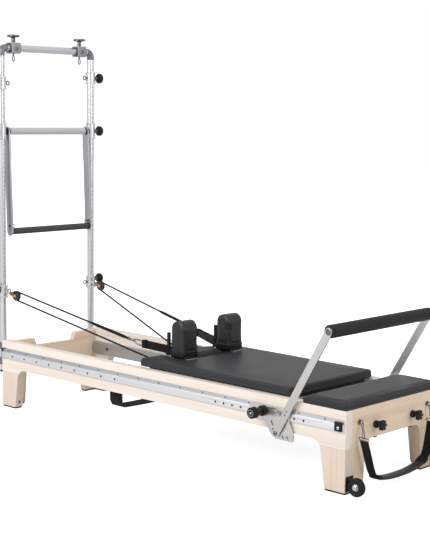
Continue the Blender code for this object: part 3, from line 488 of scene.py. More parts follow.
def piece(name, mesh, material, body, replaces=(), sharp=SHARP_ANGLE, ride=True):
    """A finished piece that rides on a body and takes its finish from a material slot."""
    mesh.name = name
    mesh.materials.clear()
    for entry in material if isinstance(material, (list, tuple)) else [material]:
        mesh.materials.append(entry)
    mesh.shade_smooth()
    mesh.set_sharp_from_angle(angle=math.radians(sharp))
    made = bpy.data.objects.new(name, mesh)
    bpy.context.scene.collection.objects.link(made)
    if ride:
        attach(made, body)
    if replaces:
        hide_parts(*replaces)
    return made


def softened(node, width, material, segments=2):
    """A CAD node with its seams welded and its sharp edges rounded, in the CAD node's place."""
    bm = bmesh.new()
    bm.from_mesh(frame["nodes"][node].data)
    bmesh.ops.remove_doubles(bm, verts=bm.verts, dist=0.00002)
    bmesh.ops.dissolve_limit(bm, angle_limit=math.radians(1.0), verts=bm.verts, edges=bm.edges)
    sharp = [edge for edge in bm.edges
             if edge.is_manifold and edge.calc_face_angle() > math.radians(SHARP_ANGLE)]
    round_edges(bm, sharp, width, segments)
    return piece(node + "_finished", mesh_of(bm), material, BODY_OF[node], (node,))


def mirrored(profile):
    """A (radius, height) profile followed by its mirror image about height 0."""
    return profile + [(radius, -height) for radius, height in reversed(profile)]


def revolve(profile, centre, axis, segments=48, closed=False):
    """Turn a (radius, height) profile about an axis through centre."""
    bm = bmesh.new()
    rings = []
    for radius, height in profile:
        if radius < 1e-6:
            rings.append([bm.verts.new((0, 0, height))] * segments)
            continue
        rings.append([bm.verts.new(spot) for spot in around(radius, segments, height)])
    pairs = list(zip(rings, rings[1:]))
    if closed:
        pairs.append((rings[-1], rings[0]))
    for lower, upper in pairs:
        for step in range(segments):
            after = (step + 1) % segments
            corners = [lower[step], lower[after], upper[after], upper[step]]
            unique = list(dict.fromkeys(corners))
            if len(unique) > 2:
                bm.faces.new(unique)
    for ring in (rings[0], rings[-1]):
        if not closed and len(set(ring)) > 1:
            bm.faces.new(ring)
    return aimed(bm, centre, axis)


def round_bar(start, end, radius, bevel, segments=32):
    """A solid bar with small chamfers at its ends."""
    start, end = Vector(start), Vector(end)
    length = (end - start).length
    profile = [(0, 0), (radius - bevel, 0), (radius, bevel), (radius, length - bevel),
               (radius - bevel, length), (0, length)]
    return revolve(profile, start, end - start, segments)


def sleeve(start, end, inner, outer, bevel=0.0008, segments=48):
    """A tube with chamfered outer rims."""
    start, end = Vector(start), Vector(end)
    length = (end - start).length
    profile = [(inner, 0), (outer - bevel, 0), (outer, bevel), (outer, length - bevel),
               (outer - bevel, length), (inner, length)]
    return revolve(profile, start, end - start, segments, closed=True)


def brick(low, high, bevel, segments=2):
    """A block with rounded edges."""
    bm = bmesh.new()
    low, high = Vector(low), Vector(high)
    size = high - low
    bmesh.ops.create_cube(bm, size=1.0, matrix=Matrix.Translation((low + high) / 2)
                          @ Matrix.Diagonal((*size, 1.0)))
    round_edges(bm, bm.edges[:], bevel, segments)
    return mesh_of(bm)


def circle_section(radius, sides):
    """A round cut, for a sweep."""
    return [spot[:2] for spot in around(radius, sides)]


def strap_section(width, thickness, steps=3):
    """A flat strap's cut: a rectangle whose short sides are rounded."""
    radius = thickness / 2 * 0.98
    half = width / 2 - radius
    section = []
    for side in (1, -1):
        for step in range(2 * steps + 1):
            angle = side * QUARTER_TURN * (step / steps - 1)
            section.append((side * half + radius * math.cos(angle) * side,
                            radius * math.sin(angle)))
    return section


def sweep(path, section, side=None, closed=False):
    """Carry a cut along a path. side, if given, is the direction that the cut's width keeps."""
    path = [Vector(point) for point in path]
    count = len(path)
    bm = bmesh.new()
    layer = bm.loops.layers.uv.new("metres")
    across = [0.0]
    for first, second in zip(section, section[1:] + section[:1]):
        across.append(across[-1] + math.dist(first, second))
    along = [0.0]
    for first, second in zip(path, path[1:]):
        along.append(along[-1] + (second - first).length)
    rings = []
    lateral = None
    for index, point in enumerate(path):
        before = path[index - 1] if index or closed else point
        after = path[(index + 1) % count] if index < count - 1 or closed else point
        tangent = (after - before).normalized()
        if side is not None:
            lateral = Vector(side)
        elif lateral is None:
            lateral = min((X, Y, Z), key=lambda axis: abs(axis.dot(tangent)))
        lateral = (lateral - tangent * lateral.dot(tangent)).normalized()
        normal = tangent.cross(lateral)
        rings.append([bm.verts.new(point + lateral * u + normal * v) for u, v in section])
    joints = list(range(count - 1)) + ([count - 1] if closed else [])
    for index in joints:
        lower, upper = rings[index], rings[(index + 1) % count]
        ends = (along[index], along[index + 1] if index < count - 1
                else along[index] + (path[0] - path[-1]).length)
        for step in range(len(section)):
            after = (step + 1) % len(section)
            face = bm.faces.new((lower[step], lower[after], upper[after], upper[step]))
            places = ((across[step], ends[0]), (across[step + 1], ends[0]),
                      (across[step + 1], ends[1]), (across[step], ends[1]))
            for loop, spot in zip(face.loops, places):
                loop[layer].uv = spot
    if not closed:
        bm.faces.new(rings[0])
        bm.faces.new(rings[-1])
    return mesh_of(bm)


def smooth_path(points, spacing):
    """Evenly spaced points on a smooth curve through the given ones."""
    points = [Vector(point) for point in points]
    dense = []
    padded = [points[0] * 2 - points[1]] + points + [points[-1] * 2 - points[-2]]
    for p0, p1, p2, p3 in zip(padded, padded[1:], padded[2:], padded[3:]):
        for step in range(16):
            t = step / 16
            dense.append(0.5 * (2 * p1 + (p2 - p0) * t + (2 * p0 - 5 * p1 + 4 * p2 - p3) * t * t
                                + (3 * p1 - p0 - 3 * p2 + p3) * t ** 3))
    dense.append(points[-1])
    return even_path(dense, spacing)


def even_path(dense, spacing):
    """The same line with points an even distance apart."""
    lengths = [0.0]
    for first, second in zip(dense, dense[1:]):
        lengths.append(lengths[-1] + (second - first).length)
    count = max(2, round(lengths[-1] / spacing))
    result, index = [], 0
    for step in range(count + 1):
        wanted = lengths[-1] * step / count
        while index < len(lengths) - 2 and lengths[index + 1] < wanted:
            index += 1
        span = lengths[index + 1] - lengths[index]
        share = (wanted - lengths[index]) / span if span else 0.0
        result.append(dense[index].lerp(dense[index + 1], min(share, 1.0)))
    return result


def hoop(centre, normal, radius, wire):
    """A ring of round wire."""
    turn = Vector(normal).to_track_quat("Z", "Y").to_matrix()
    path = [Vector(centre) + turn @ Vector(spot) for spot in around(radius, 36)]
    return sweep(path, circle_section(wire, 10), closed=True)


def snap_bow(start, reach, across, half, spacing, wire):
    """A snap hook's closed bow. half gives one side of it, as shares of reach and offsets."""
    both = half + [(share, -offset) for share, offset in reversed(half[:-1])]
    bow = [start + reach * share + across * offset for share, offset in both]
    return sweep(smooth_path(bow, spacing), circle_section(wire, 10))


def slab(outline, thickness, to_world, bevel):
    """A flat outline given thickness, with softened edges, carried to its place."""
    bm = bmesh.new()
    face = bm.faces.new([bm.verts.new((u, v, -thickness / 2)) for u, v in outline])
    made = bmesh.ops.extrude_face_region(bm, geom=[face])
    lifted = [item for item in made["geom"] if isinstance(item, bmesh.types.BMVert)]
    bmesh.ops.translate(bm, verts=lifted, vec=(0, 0, thickness))
    rims = [edge for edge in bm.edges if edge.calc_face_angle() > 1.2
            and abs(edge.verts[0].co.z - edge.verts[1].co.z) < 1e-6]
    round_edges(bm, rims, bevel)
    bmesh.ops.transform(bm, matrix=to_world, verts=bm.verts)
    return mesh_of(bm)


def facing(centre, normal):
    """A placement whose local Z looks along normal, and whose local Y is as upright as it can."""
    normal = Vector(normal).normalized()
    side = Z.cross(normal).normalized()
    return Matrix.Translation(centre) @ Matrix(
        (side, normal.cross(side), normal)).transposed().to_4x4()


def bolt_head(centre, normal, radius, height):
    """A domed screw head with a recessed hexagon socket."""
    socket_floor = height * 0.35
    profile = [(0.0, socket_floor), (radius * 0.42, socket_floor), (radius * 0.46, height),
               (radius * 0.8, height), (radius, height * 0.55), (radius, 0.0), (0.0, 0.0)]
    return revolve(profile, centre, normal, 24)


def knurled(centre, axis, radius, length, ridges, depth, rim):
    """A knob with fluted sides."""
    steps = ridges * 4
    rings = []
    for shrink, height in ((rim, 0.0), (0.0, rim), (0.0, length - rim), (rim, length)):
        ridge = around(radius - shrink, steps, height)
        flute = around(radius - shrink - depth, steps, height)
        rings.append([(flute if step % 4 in (2, 3) else ridge)[step] for step in range(steps)])
    return aimed(loft(rings), centre, axis)


def rounded(corners, radius):
    """A closed outline with an arc at each of its square corners."""
    outline = []
    for index, corner in enumerate(corners):
        here = Vector(corner)
        before = (Vector(corners[index - 1]) - here).normalized()
        after = (Vector(corners[(index + 1) % len(corners)]) - here).normalized()
        centre = here + (before + after) * radius
        outline += [centre - after * radius * cosine - before * radius * sine
                    for cosine, sine in arc(0, QUARTER_TURN, 5)]
    return outline


def lofted(rings):
    """A closed shape through rings of as many points each."""
    return mesh_of(loft(rings))


def pad_rings(corners, levels):
    """Rings for a pad: its outline moved in by each level's inset, at its height and radius."""
    rings = []
    for inset, height, radius in levels:
        moved = []
        for index, corner in enumerate(corners):
            here = Vector(corner)
            before = (here - Vector(corners[index - 1])).normalized()
            after = (Vector(corners[(index + 1) % len(corners)]) - here).normalized()
            moved.append(here + Vector((-before.y - after.y, before.x + after.x)) * inset)
        rings.append([(spot.x, spot.y, height) for spot in rounded(moved, radius)])
    return rings


def stadium(first, second, width, steps=12):
    """A flat bar's outline with round ends about two centres."""
    first, second = Vector(first), Vector(second)
    along = second - first
    heading = math.atan2(along.y, along.x)
    outline = []
    for centre, start in ((second, heading - QUARTER_TURN), (first, heading + QUARTER_TURN)):
        outline += [(centre.x + width / 2 * cosine, centre.y + width / 2 * sine)
                    for cosine, sine in arc(start, HALF_TURN, steps)]
    return outline


def upright_plate(outline, y, thickness, bevel=0.0008):
    """A plate in the XZ plane from an outline counted from the frame's head-end face."""
    turn = Matrix.Rotation(QUARTER_TURN, 4, "X")
    return slab(outline, thickness, Matrix.Translation((HEAD_FACE, y, 0)) @ turn, bevel)


def laid_on(mesh, points, lift):
    """Points moved onto a mesh's surface, and lifted off it along the surface's normal."""
    tree = BVHTree.FromPolygons([vertex.co for vertex in mesh.vertices],
                                [polygon.vertices for polygon in mesh.polygons])
    landed = []
    for point in points:
        spot, normal = tree.find_nearest(point)[:2]
        landed.append(spot + normal * lift)
    return landed


add_camera()
add_studio()


# Wooden frame ------------------------------------------------------------------------------

def wooden_frame():
    """The beams, the end panels, the rubber soles and a bolt low on each head leg."""
    for side in SIDES:
        softened(f"side_panel_{side}", 0.0022, MAPLE_SIDE_LIT_PALER, 3)
    for node in ("head_panel", "foot_panel"):
        softened(node, 0.0022, MAPLE_END_SHADED_RICHER, 3)
    for end in ("head", "foot"):
        for side in SIDES:
            softened(f"foot_pad_{end}_{side}", 0.0012, RUBBER)
    bolts = [bolt_head(place(0.1172, sign * 0.327, 0.037), X, 0.0075, 0.003)
             for sign in SIDES.values()]
    piece("leg_bolts", joined(bolts), DARK_METAL, "frame")


# Rails -------------------------------------------------------------------------------------

WOOD_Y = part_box("side_panel_left")[1].y
RAIL_HOLE_R = 0.004
RAIL_HOLES = [0.102 + 0.1045 * index for index in range(9)]
RAIL_HOLES += [1.638 + 0.0535 * index for index in range(11)]
RAIL_HOLE_Z = 0.292
RAIL_STEP_Z = 0.311               # the recessed band, painted darker as shade, is above this height
RAIL_SCREWS = [0.068 + 0.148 * index for index in range(16)]
RAIL_SCREW_Z = 0.3205
STOP_START, STOP_END = 2.349, 2.3895
TRACK_BOLTS = [0.166 + 0.44 * index for index in range(5)]
TRACK_BOLT_Z = 0.262


def outer_rail(side):
    """The drilled rail, its holes and its recessed upper band painted dark as shade, its screws,
    cap and stop.
    """
    sign = SIDES[side]
    node = f"outer_rail_{side}"
    low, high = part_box(node)
    face_y = max(abs(low.y), abs(high.y))
    rail = softened(node, 0.0004, [RAIL, HOLE, RAIL_RECESS_SHADE])
    for face in rail.data.polygons:
        centre = face.center
        nearest = min(abs(centre.x - HEAD_FACE - hole) for hole in RAIL_HOLES)
        # Faces inside the drilled holes take the hole material: painted shadow on their walls.
        inside = math.hypot(nearest, centre.z - RAIL_HOLE_Z) < RAIL_HOLE_R + 0.0003
        if inside and abs(centre.y) < face_y - 0.0004:
            face.material_index = 1
        # The recessed band above the step is painted darker as shade.
        elif centre.z > RAIL_STEP_Z and abs(centre.y) < face_y - 0.005:
            face.material_index = 2
    # Black rings round the holes' edges on the rail's face.
    dark_rims = [sleeve(place(x, sign * (face_y - 0.0010), RAIL_HOLE_Z),
                     place(x, sign * (face_y + 0.00015), RAIL_HOLE_Z), RAIL_HOLE_R - 0.0002,
                     RAIL_HOLE_R + 0.0016, 0.0001, 24) for x in RAIL_HOLES]
    piece(f"rail_hole_liners_{side}", joined(dark_rims), BLACK, "frame")
    screws = [bolt_head(place(x, sign * (WOOD_Y + 0.0032), RAIL_SCREW_Z), Y * sign, 0.0042,
                        0.0016) for x in RAIL_SCREWS]
    piece(f"rail_screws_{side}", joined(screws), DARK_METAL, "frame")
    cap_y = sign * ((face_y + WOOD_Y) / 2 + 0.0006)
    left, bottom, top = low.x - 0.0006, low.z - 0.0006, high.z + 0.0006
    bend, reach = 0.0125, 0.024
    route = [Vector((left + reach, cap_y, top))]
    for centre_z, start in ((top - bend, QUARTER_TURN), (bottom + bend, HALF_TURN)):
        route += [Vector((left + bend + bend * cosine, cap_y, centre_z + bend * sine))
                  for cosine, sine in arc(start, QUARTER_TURN, 6)]
    route.append(Vector((left + reach, cap_y, bottom)))
    cap = sweep(route, strap_section(0.0102, 0.0018), side=Y)
    ends = sorted((sign * (face_y - 0.002), sign * (face_y + 0.0095)))
    stop = brick(place(STOP_START, ends[0], low.z + 0.003),
                 place(STOP_END, ends[1], high.z - 0.007), 0.005, 3)
    piece(f"rail_ends_{side}", joined([cap, stop]), BLACK, "frame")
    screw = bolt_head(place(2.371, sign * (face_y + 0.0093), 0.296), Y * sign, 0.0068, 0.002)
    piece(f"rail_stop_screw_{side}", screw, CHROME, "frame")


def inner_rail(side):
    """The carriage's track and the bolts that hold it to the beam."""
    sign = SIDES[side]
    node = f"inner_rail_{side}"
    low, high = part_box(node)
    softened(node, 0.0008, TRACK)
    inner_y = sign * min(abs(low.y), abs(high.y))
    bolts = [bolt_head(place(x, inner_y, TRACK_BOLT_Z), Y * -sign, 0.0080, 0.003)
             for x in TRACK_BOLTS]
    piece(f"track_bolts_{side}", joined(bolts), BLACK, "frame")


# Upholstery --------------------------------------------------------------------------------

def evaluated_mesh(made):
    """An object's mesh with its modifiers applied."""
    bpy.context.view_layer.update()
    return bpy.data.meshes.new_from_object(
        made.evaluated_get(bpy.context.evaluated_depsgraph_get()))


CLOTH_PRESSURE = 4.0
CLOTH_FRAMES = 20


def puffed(mesh, voxel, cap, is_held):
    """Swell a closed shape as cloth under pressure, by no more than cap at any point."""
    source = bpy.data.objects.new("cover", mesh)
    bpy.context.scene.collection.objects.link(source)
    remesh = source.modifiers.new("remesh", "REMESH")
    remesh.mode = "VOXEL"
    remesh.voxel_size = voxel
    cover = evaluated_mesh(source)
    bpy.data.objects.remove(source, do_unlink=True)
    inflated = bpy.data.objects.new("cover", cover)
    bpy.context.scene.collection.objects.link(inflated)
    held = inflated.vertex_groups.new(name="held")
    held.add([vertex.index for vertex in cover.vertices if is_held(vertex.co)], 1.0, "ADD")
    cloth = inflated.modifiers.new("cloth", "CLOTH")
    settings = cloth.settings
    settings.vertex_group_mass = "held"
    settings.quality = 4
    settings.bending_stiffness = 0.4
    settings.use_pressure = True
    settings.uniform_pressure_force = CLOTH_PRESSURE
    settings.effector_weights.gravity = 0.0
    cloth.point_cache.frame_start = 1
    cloth.point_cache.frame_end = CLOTH_FRAMES
    for moment in range(1, CLOTH_FRAMES + 1):
        bpy.context.scene.frame_set(moment)
    swollen = evaluated_mesh(inflated)
    for vertex, start in zip(swollen.vertices, cover.vertices):
        move = vertex.co - start.co
        if move.length > cap:
            vertex.co = start.co + move.normalized() * cap
    bpy.data.objects.remove(inflated, do_unlink=True)
    bpy.context.scene.frame_set(1)
    return swollen


def padded_piece(node, mesh, material):
    """An upholstered piece in a CAD node's place."""
    made = piece(node + "_cover", mesh, material, BODY_OF[node], (node,), 180.0)
    rounding = made.modifiers.new("rounding", "SUBSURF")
    rounding.levels = 1
    rounding.render_levels = 1
    return made


def footprint(low, high):
    """A box's corners, seen from above."""
    return [(low.x, low.y), (high.x, low.y), (high.x, high.y), (low.x, high.y)]


def deck():
    """The carriage deck: a vinyl-covered pad on a black board, notched for the headrest."""
    low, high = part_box("carriage_pad")
    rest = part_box("headrest_pad")[1]
    notch_x, notch_y = rest.x + 0.0015, rest.y + 0.0025
    corners = footprint(low, high) + [(low.x, notch_y), (notch_x, notch_y), (notch_x, -notch_y),
                                      (low.x, -notch_y)]
    cover = lofted(pad_rings(corners, [
        (0.0035, low.z + 0.0015, 0.012), (0.0018, low.z + 0.004, 0.013),
        (0.0018, high.z - 0.012, 0.013), (0.004, high.z - 0.0060, 0.012),
        (0.010, high.z - 0.003, 0.010)]))
    swollen = puffed(cover, 0.008, 0.003, lambda spot: spot.z < low.z + 0.012)
    padded_piece("carriage_pad", swollen, DECK_VINYL)
    board = lofted(pad_rings(corners, [
        (0.009, low.z, 0.012), (0.008, low.z + 0.0005, 0.012), (0.008, low.z + 0.0020, 0.012)]))
    piece("carriage_board", board, BLACK, "carriage")


def headrest():
    """The padded headrest in the deck's notch."""
    low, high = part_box("headrest_pad")
    cover = lofted(pad_rings(footprint(low, high), [
        (0.005, low.z + 0.001, 0.012), (0.002, low.z + 0.006, 0.012),
        (0.002, high.z - 0.014, 0.012), (0.006, high.z - 0.008, 0.012),
        (0.016, high.z - 0.004, 0.012)]))
    swollen = puffed(cover, 0.005, 0.004, lambda spot: spot.z < low.z + 0.010)
    padded_piece("headrest_pad", swollen, DECK_VINYL)


def foot_platform():
    """The standing platform: a padded top pulled down over its board, with a welt at the edge."""
    low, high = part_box("foot_platform")
    corners = footprint(low, high)
    welt_z = low.z + 0.0215
    cover = lofted(pad_rings(corners, [
        (0.002, low.z + 0.0005, 0.010), (0.0012, low.z + 0.002, 0.010), (0.0012, welt_z, 0.010),
        (0.004, welt_z + 0.004, 0.012), (0.012, high.z - 0.0065, 0.014),
        (0.022, high.z - 0.0035, 0.016)]))
    swollen = puffed(cover, 0.006, 0.003, lambda spot: spot.z < welt_z)
    padded_piece("foot_platform", swollen, DECK_VINYL)
    welt = pad_rings(corners, [(0.0008, welt_z, 0.010)])[0]
    piece("platform_welt", sweep(welt, circle_section(0.0019, 10), closed=True), PIPING, "frame")


REST_X, REST_Y = 1.2365, 0.165
REST_HALF = 0.053                 # half a shoulder block's width
REST_RADIUS = 0.046
PIPING_REACH = 0.0475             # from the block's middle to each line of piping
BASE_TOP = 0.460
PEG_X, PEG_Y, PEG_TOP = 1.1335, 0.171, 0.535


def arch(inset, y, bottom, top):
    """A shoulder block's arched outline at a depth y."""
    radius = REST_RADIUS - inset
    spring_z = top - inset - radius
    points = [place(REST_X + radius, y, bottom)]
    points += [place(REST_X + radius * cosine, y, spring_z + radius * sine)
               for cosine, sine in arc(0, HALF_TURN, 18)]
    return points + [place(REST_X - radius, y, bottom)]


def shoulder_rest(side):
    """A padded arch with piping round both faces, its moulded base, the plate and the peg."""
    sign = SIDES[side]
    node = f"shoulder_rest_{side}"
    low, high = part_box(node)
    middle_y = sign * REST_Y
    levels = [(0.0150, -0.0510), (0.0070, -0.0493), (0.0030, -0.0455), (0.0015, -0.0395)]
    levels += [(inset, -offset) for inset, offset in reversed(levels)]
    cover = lofted([arch(inset, middle_y + offset, BASE_TOP - 0.012, high.z)
                    for inset, offset in levels])
    swollen = puffed(cover, 0.005, 0.0022, lambda spot: spot.z < BASE_TOP + 0.004)
    piping = []
    for offset in (-PIPING_REACH, PIPING_REACH):
        rim = arch(0.004, middle_y + offset, BASE_TOP - 0.002, high.z)
        rim = laid_on(swollen, even_path(rim, 0.005), 0.0003)
        piping.append(sweep(rim, circle_section(0.0019, 10)))
    padded_piece(node, swollen, BLOCK_VINYL)
    piece(f"rest_piping_{side}", joined(piping), PIPING, "carriage")
    reach_x, reach_y = REST_RADIUS + 0.0012, REST_HALF + 0.0004
    base = brick(place(REST_X - reach_x, middle_y - reach_y, low.z + 0.0042),
                 place(REST_X + reach_x, middle_y + reach_y, BASE_TOP), 0.010, 5)
    piece(f"rest_base_{side}", base, GLOSS_BLACK, "carriage")
    plate = brick(place(PEG_X - 0.020, middle_y - 0.030, low.z),
                  place(REST_X + 0.060, middle_y + 0.030, low.z + 0.004), 0.0012)
    screws = [bolt_head(place(PEG_X + 0.026, middle_y + offset, low.z + 0.004), Z, 0.005, 0.0025)
              for offset in (-0.020, 0.020)]
    piece(f"rest_plate_{side}", joined([plate, *screws]), CHROME, "carriage")
    profile = [(0, 0), (0.015, 0), (0.015, 0.004), (0.0105, 0.007), (0.0095, 0.010)]
    height = PEG_TOP - low.z - 0.004
    profile += [(0.0095, height - 0.002), (0.0078, height), (0, height)]
    peg = revolve(profile, place(PEG_X, sign * PEG_Y, low.z + 0.004), Z, 28)
    piece(f"rest_peg_{side}", peg, BLACK, "carriage")


# Carriage running gear and springs -----------------------------------------------------------

WHEEL_R = 0.028
SPRING_WIRE_R = 0.0011
COIL_PITCH = 0.0046
COIL_INSET = 0.050                # from a spring's end to the first turn of its coil


def carriage_wheel(node):
    """A grooved tyre on a bright hub."""
    low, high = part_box(node)
    centre = middle(node)
    half = (high.y - low.y) / 2
    tyre = revolve(mirrored([(0.012, -half + 0.001), (0.026, -half), (WHEEL_R, -half + 0.003)]),
                   centre, Y, closed=True)
    hub = revolve(mirrored([(0.0055, -half), (0.0125, -half)]), centre, Y, 32, closed=True)
    piece(node + "_tyre", tyre, RUBBER, node, (node,))
    piece(node + "_hub", hub, CHROME, node)


def spring(number):
    """A close-wound coil with a hook at each end, stretched by the carriage."""
    node = f"spring_{number}"
    low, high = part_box(node)
    axis_y, axis_z = (low.y + high.y) / 2, (low.z + high.z) / 2
    radius = (high.y - low.y) / 2 - SPRING_WIRE_R - 0.0002
    start, end = low.x + COIL_INSET, high.x - COIL_INSET
    steps = 12                    # points in each turn
    count = round((end - start) / COIL_PITCH) * steps
    path = []
    for step in range(count + 1):
        angle = FULL_TURN * step / steps
        path.append(Vector((start + (end - start) * step / count,
                            axis_y + radius * math.cos(angle), axis_z + radius * math.sin(angle))))
    lead_in = [Vector((low.x + 0.002, axis_y, axis_z)), Vector((start - 0.016, axis_y, axis_z)),
               Vector((start - 0.005, axis_y + radius * 0.6, axis_z - radius * 0.5))]
    lead_out = [Vector((end + 0.005, axis_y + radius * 0.6, axis_z - radius * 0.5)),
                Vector((end + 0.016, axis_y, axis_z)), Vector((high.x - 0.002, axis_y, axis_z))]
    coil = sweep(lead_in + path + lead_out, circle_section(SPRING_WIRE_R, 6))
    ends = [revolve([(0, 0), (0.0062, 0), (0.0075, 0.0015), (0.0075, 0.0145), (0.0062, 0.016),
                     (0, 0.016)], Vector((x, axis_y, axis_z)), X, 20)
            for x in (start - 0.016, end)]
    made = piece(node + "_coil", joined([coil, *ends]), SPRING_WIRE, None, (node,),
                 40.0, ride=False)
    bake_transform(made)


def running_gear():
    """The chassis, its wheels, the four springs and the bar that they hook on."""
    softened("carriage_chassis", 0.0012, POWDER)
    for node in BODY_OF:
        if node.startswith("carriage_wheel"):
            carriage_wheel(node)
    for number in range(1, 5):
        spring(number)
    low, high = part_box("spring_bar")
    centre = middle("spring_bar")
    bar = round_bar((centre.x, low.y, centre.z), (centre.x, high.y, centre.z), 0.008, 0.001)
    piece("spring_bar_finished", bar, CHROME, "frame", ("spring_bar",))


# Foot end ----------------------------------------------------------------------------------

STRAP_X = 2.435
STRAP_ROUTE = [(-0.268, 0.235), (-0.250, 0.190), (-0.205, 0.080), (-0.160, 0.050),
               (-0.080, 0.038), (0.0, 0.036), (0.080, 0.040), (0.160, 0.056),
               (0.208, 0.090), (0.235, 0.180), (0.245, 0.235)]
STRAP_WIDTH = 0.046
PAD_STARTS_Y = 0.178
FACE_X = 2.400                    # the foot panel's outer face
EYE_Y, EYE_Z = 0.258, 0.310
STAR_Y, STAR_Z = 0.140, 0.281
TAB_Y = 0.135


def strap_hanger(centre_y, sign, ring_z):
    """Eye plate on the foot panel, a ring, a snap hook and the bar that holds the strap."""
    eye = place(FACE_X + 0.0115, sign * EYE_Y, EYE_Z)
    plate = revolve([(0, 0), (0.012, 0), (0.012, 0.0012), (0.009, 0.0026), (0.004, 0.003),
                     (0.004, 0.006), (0, 0.006)], place(FACE_X, sign * EYE_Y, EYE_Z), X, 28)
    foot = place(STRAP_X, centre_y, ring_z)
    top = eye + Vector((0.006, 0, -0.012))
    heading = (foot - top).normalized()
    swivel = top + heading * 0.014
    hook_top, hook_end = swivel + heading * 0.004, foot - heading * 0.004
    shapes = [plate, hoop(eye, Y, 0.0082, 0.0025), hoop(top, X, 0.0078, 0.0022),
              round_bar(swivel - heading * 0.006, hook_top, 0.0042, 0.001, 20)]
    shapes.append(snap_bow(hook_top, heading * (hook_end - hook_top).length,
                           heading.cross(X).normalized(),
                           [(0.0, 0.0), (0.12, 0.0045), (0.35, 0.0062), (0.75, 0.0068),
                            (0.95, 0.005), (1.03, 0.0)], 0.0022, 0.0024))
    half_x, half_z = STRAP_WIDTH / 2 + 0.003, 0.0062
    frame_bar = []
    for cosine, sine in circle_section(1.0, 40):
        frame_bar.append(foot + X * half_x * math.copysign(abs(cosine) ** 0.45, cosine)
                         + heading * half_z * math.copysign(abs(sine) ** 0.45, sine))
    shapes.append(sweep(frame_bar, circle_section(0.0023, 10), closed=True))
    return joined(shapes)


def foot_strap():
    """Webbing from two hooks, a padded middle and a stitched cuff where each upright ends."""
    route = smooth_path([place(STRAP_X, y, z) for y, z in STRAP_ROUTE], 0.008)
    webbing_strap = piece("foot_strap_webbing", sweep(route, strap_section(STRAP_WIDTH, 0.003),
                                                      side=X), STRAP, "frame",
                          ("foot_strap",), 60.0)
    middle_part = [point for point in route if abs(point.y) < PAD_STARTS_Y]
    rings = []
    for index, point in enumerate(middle_part):
        share = index / (len(middle_part) - 1)
        taper = min(1.0, 12 * share + 0.55, 12 * (1 - share) + 0.55)
        before = middle_part[max(index - 1, 0)]
        after = middle_part[min(index + 1, len(middle_part) - 1)]
        normal = (after - before).normalized().cross(X)
        rings.append([point + X * u * (0.5 + 0.5 * taper) + normal * v * taper
                      for u, v in strap_section(STRAP_WIDTH + 0.003, 0.0150, 4)])
    pad = piece("foot_strap_pad", lofted(rings), BLOCK_VINYL, "frame", sharp=180.0)
    cuffs = []
    for sign in SIDES.values():
        centre = min(range(len(route)), key=lambda index: abs(route[index].y
                                                              - sign * PAD_STARTS_Y))
        span = route[centre - 2:centre + 3]
        cuffs.append(sweep(smooth_path(span, 0.002), strap_section(STRAP_WIDTH + 0.007, 0.0190, 4),
                           side=X))
    cuff = piece("foot_strap_cuffs", joined(cuffs), STRAP, "frame", sharp=50.0)
    hangers = joined([strap_hanger(route[0].y, -1.0, route[0].z + 0.004),
                      strap_hanger(route[-1].y, 1.0, route[-1].z + 0.004)])
    hanger = piece("foot_strap_hooks", hangers, FITTING, "frame", sharp=50.0)


def star_knob(side):
    """A six-lobed clamp knob on its round collar."""
    sign = SIDES[side]
    node = f"star_knob_{side}"
    centre_y = sign * STAR_Y
    outline = []
    for step in range(72):
        angle = FULL_TURN * step / 72
        radius = 0.0208 + 0.0042 * math.cos(6 * angle) - 0.0009 * math.cos(12 * angle)
        outline.append((radius * math.cos(angle), radius * math.sin(angle)))
    head = slab(outline, 0.018, facing(place(2.4385, centre_y, STAR_Z), X), 0.002)
    body = revolve([(0, 0), (0.0165, 0), (0.017, 0.0015), (0.017, 0.0115), (0.014, 0.0155),
                    (0.009, 0.017), (0.009, 0.032), (0, 0.032)],
                   place(FACE_X + 0.0003, centre_y, STAR_Z), X, 36)
    cap = revolve([(0, 0), (0.0085, 0), (0.0085, 0.001), (0.006, 0.0018), (0, 0.002)],
                  place(2.4474, centre_y, STAR_Z), X, 28)
    piece(node + "_finished", joined([head, body, cap]), BLACK, node, (node,))


def transport_wheel(side):
    """A moulded tyre with a bright hub, beside its bracket."""
    sign = SIDES[side]
    node = f"transport_wheel_{side}"
    centre = middle(node)
    tyre = revolve(mirrored([(0.0155, -0.0095), (0.022, -0.0125), (0.0245, -0.0105),
                             (0.030, -0.0135), (0.0365, -0.0132), (0.0398, -0.0105),
                             (0.041, -0.005)]), centre, Y, 64, closed=True)
    piece(node + "_tyre", tyre, RUBBER, node, (node,))
    hub = revolve(mirrored([(0, -0.0185), (0.009, -0.0185), (0.0122, -0.0162),
                            (0.0122, -0.009), (0.0163, -0.0085)]), centre, Y, 40)
    piece(node + "_hub", hub, POLISHED, node)
    near, far = sorted((sign * 0.3128, sign * 0.3173))
    arm = upright_plate(stadium((FACE_X + 0.012, 0.047), (centre.x - HEAD_FACE, centre.z), 0.026),
                        (near + far) / 2, 0.004)
    ends = sorted((sign * 0.297, sign * 0.347))
    flange = brick(place(FACE_X + 0.0003, ends[0], 0.014), place(FACE_X + 0.0043, ends[1], 0.080),
                   0.0012)
    screws = [bolt_head(place(FACE_X + 0.0043, sign * y, z), X, 0.0042, 0.002)
              for y, z in ((0.304, 0.070), (0.304, 0.022), (0.340, 0.073))]
    piece(f"wheel_bracket_{side}", joined([arm, flange, *screws]), BLACK, "frame")


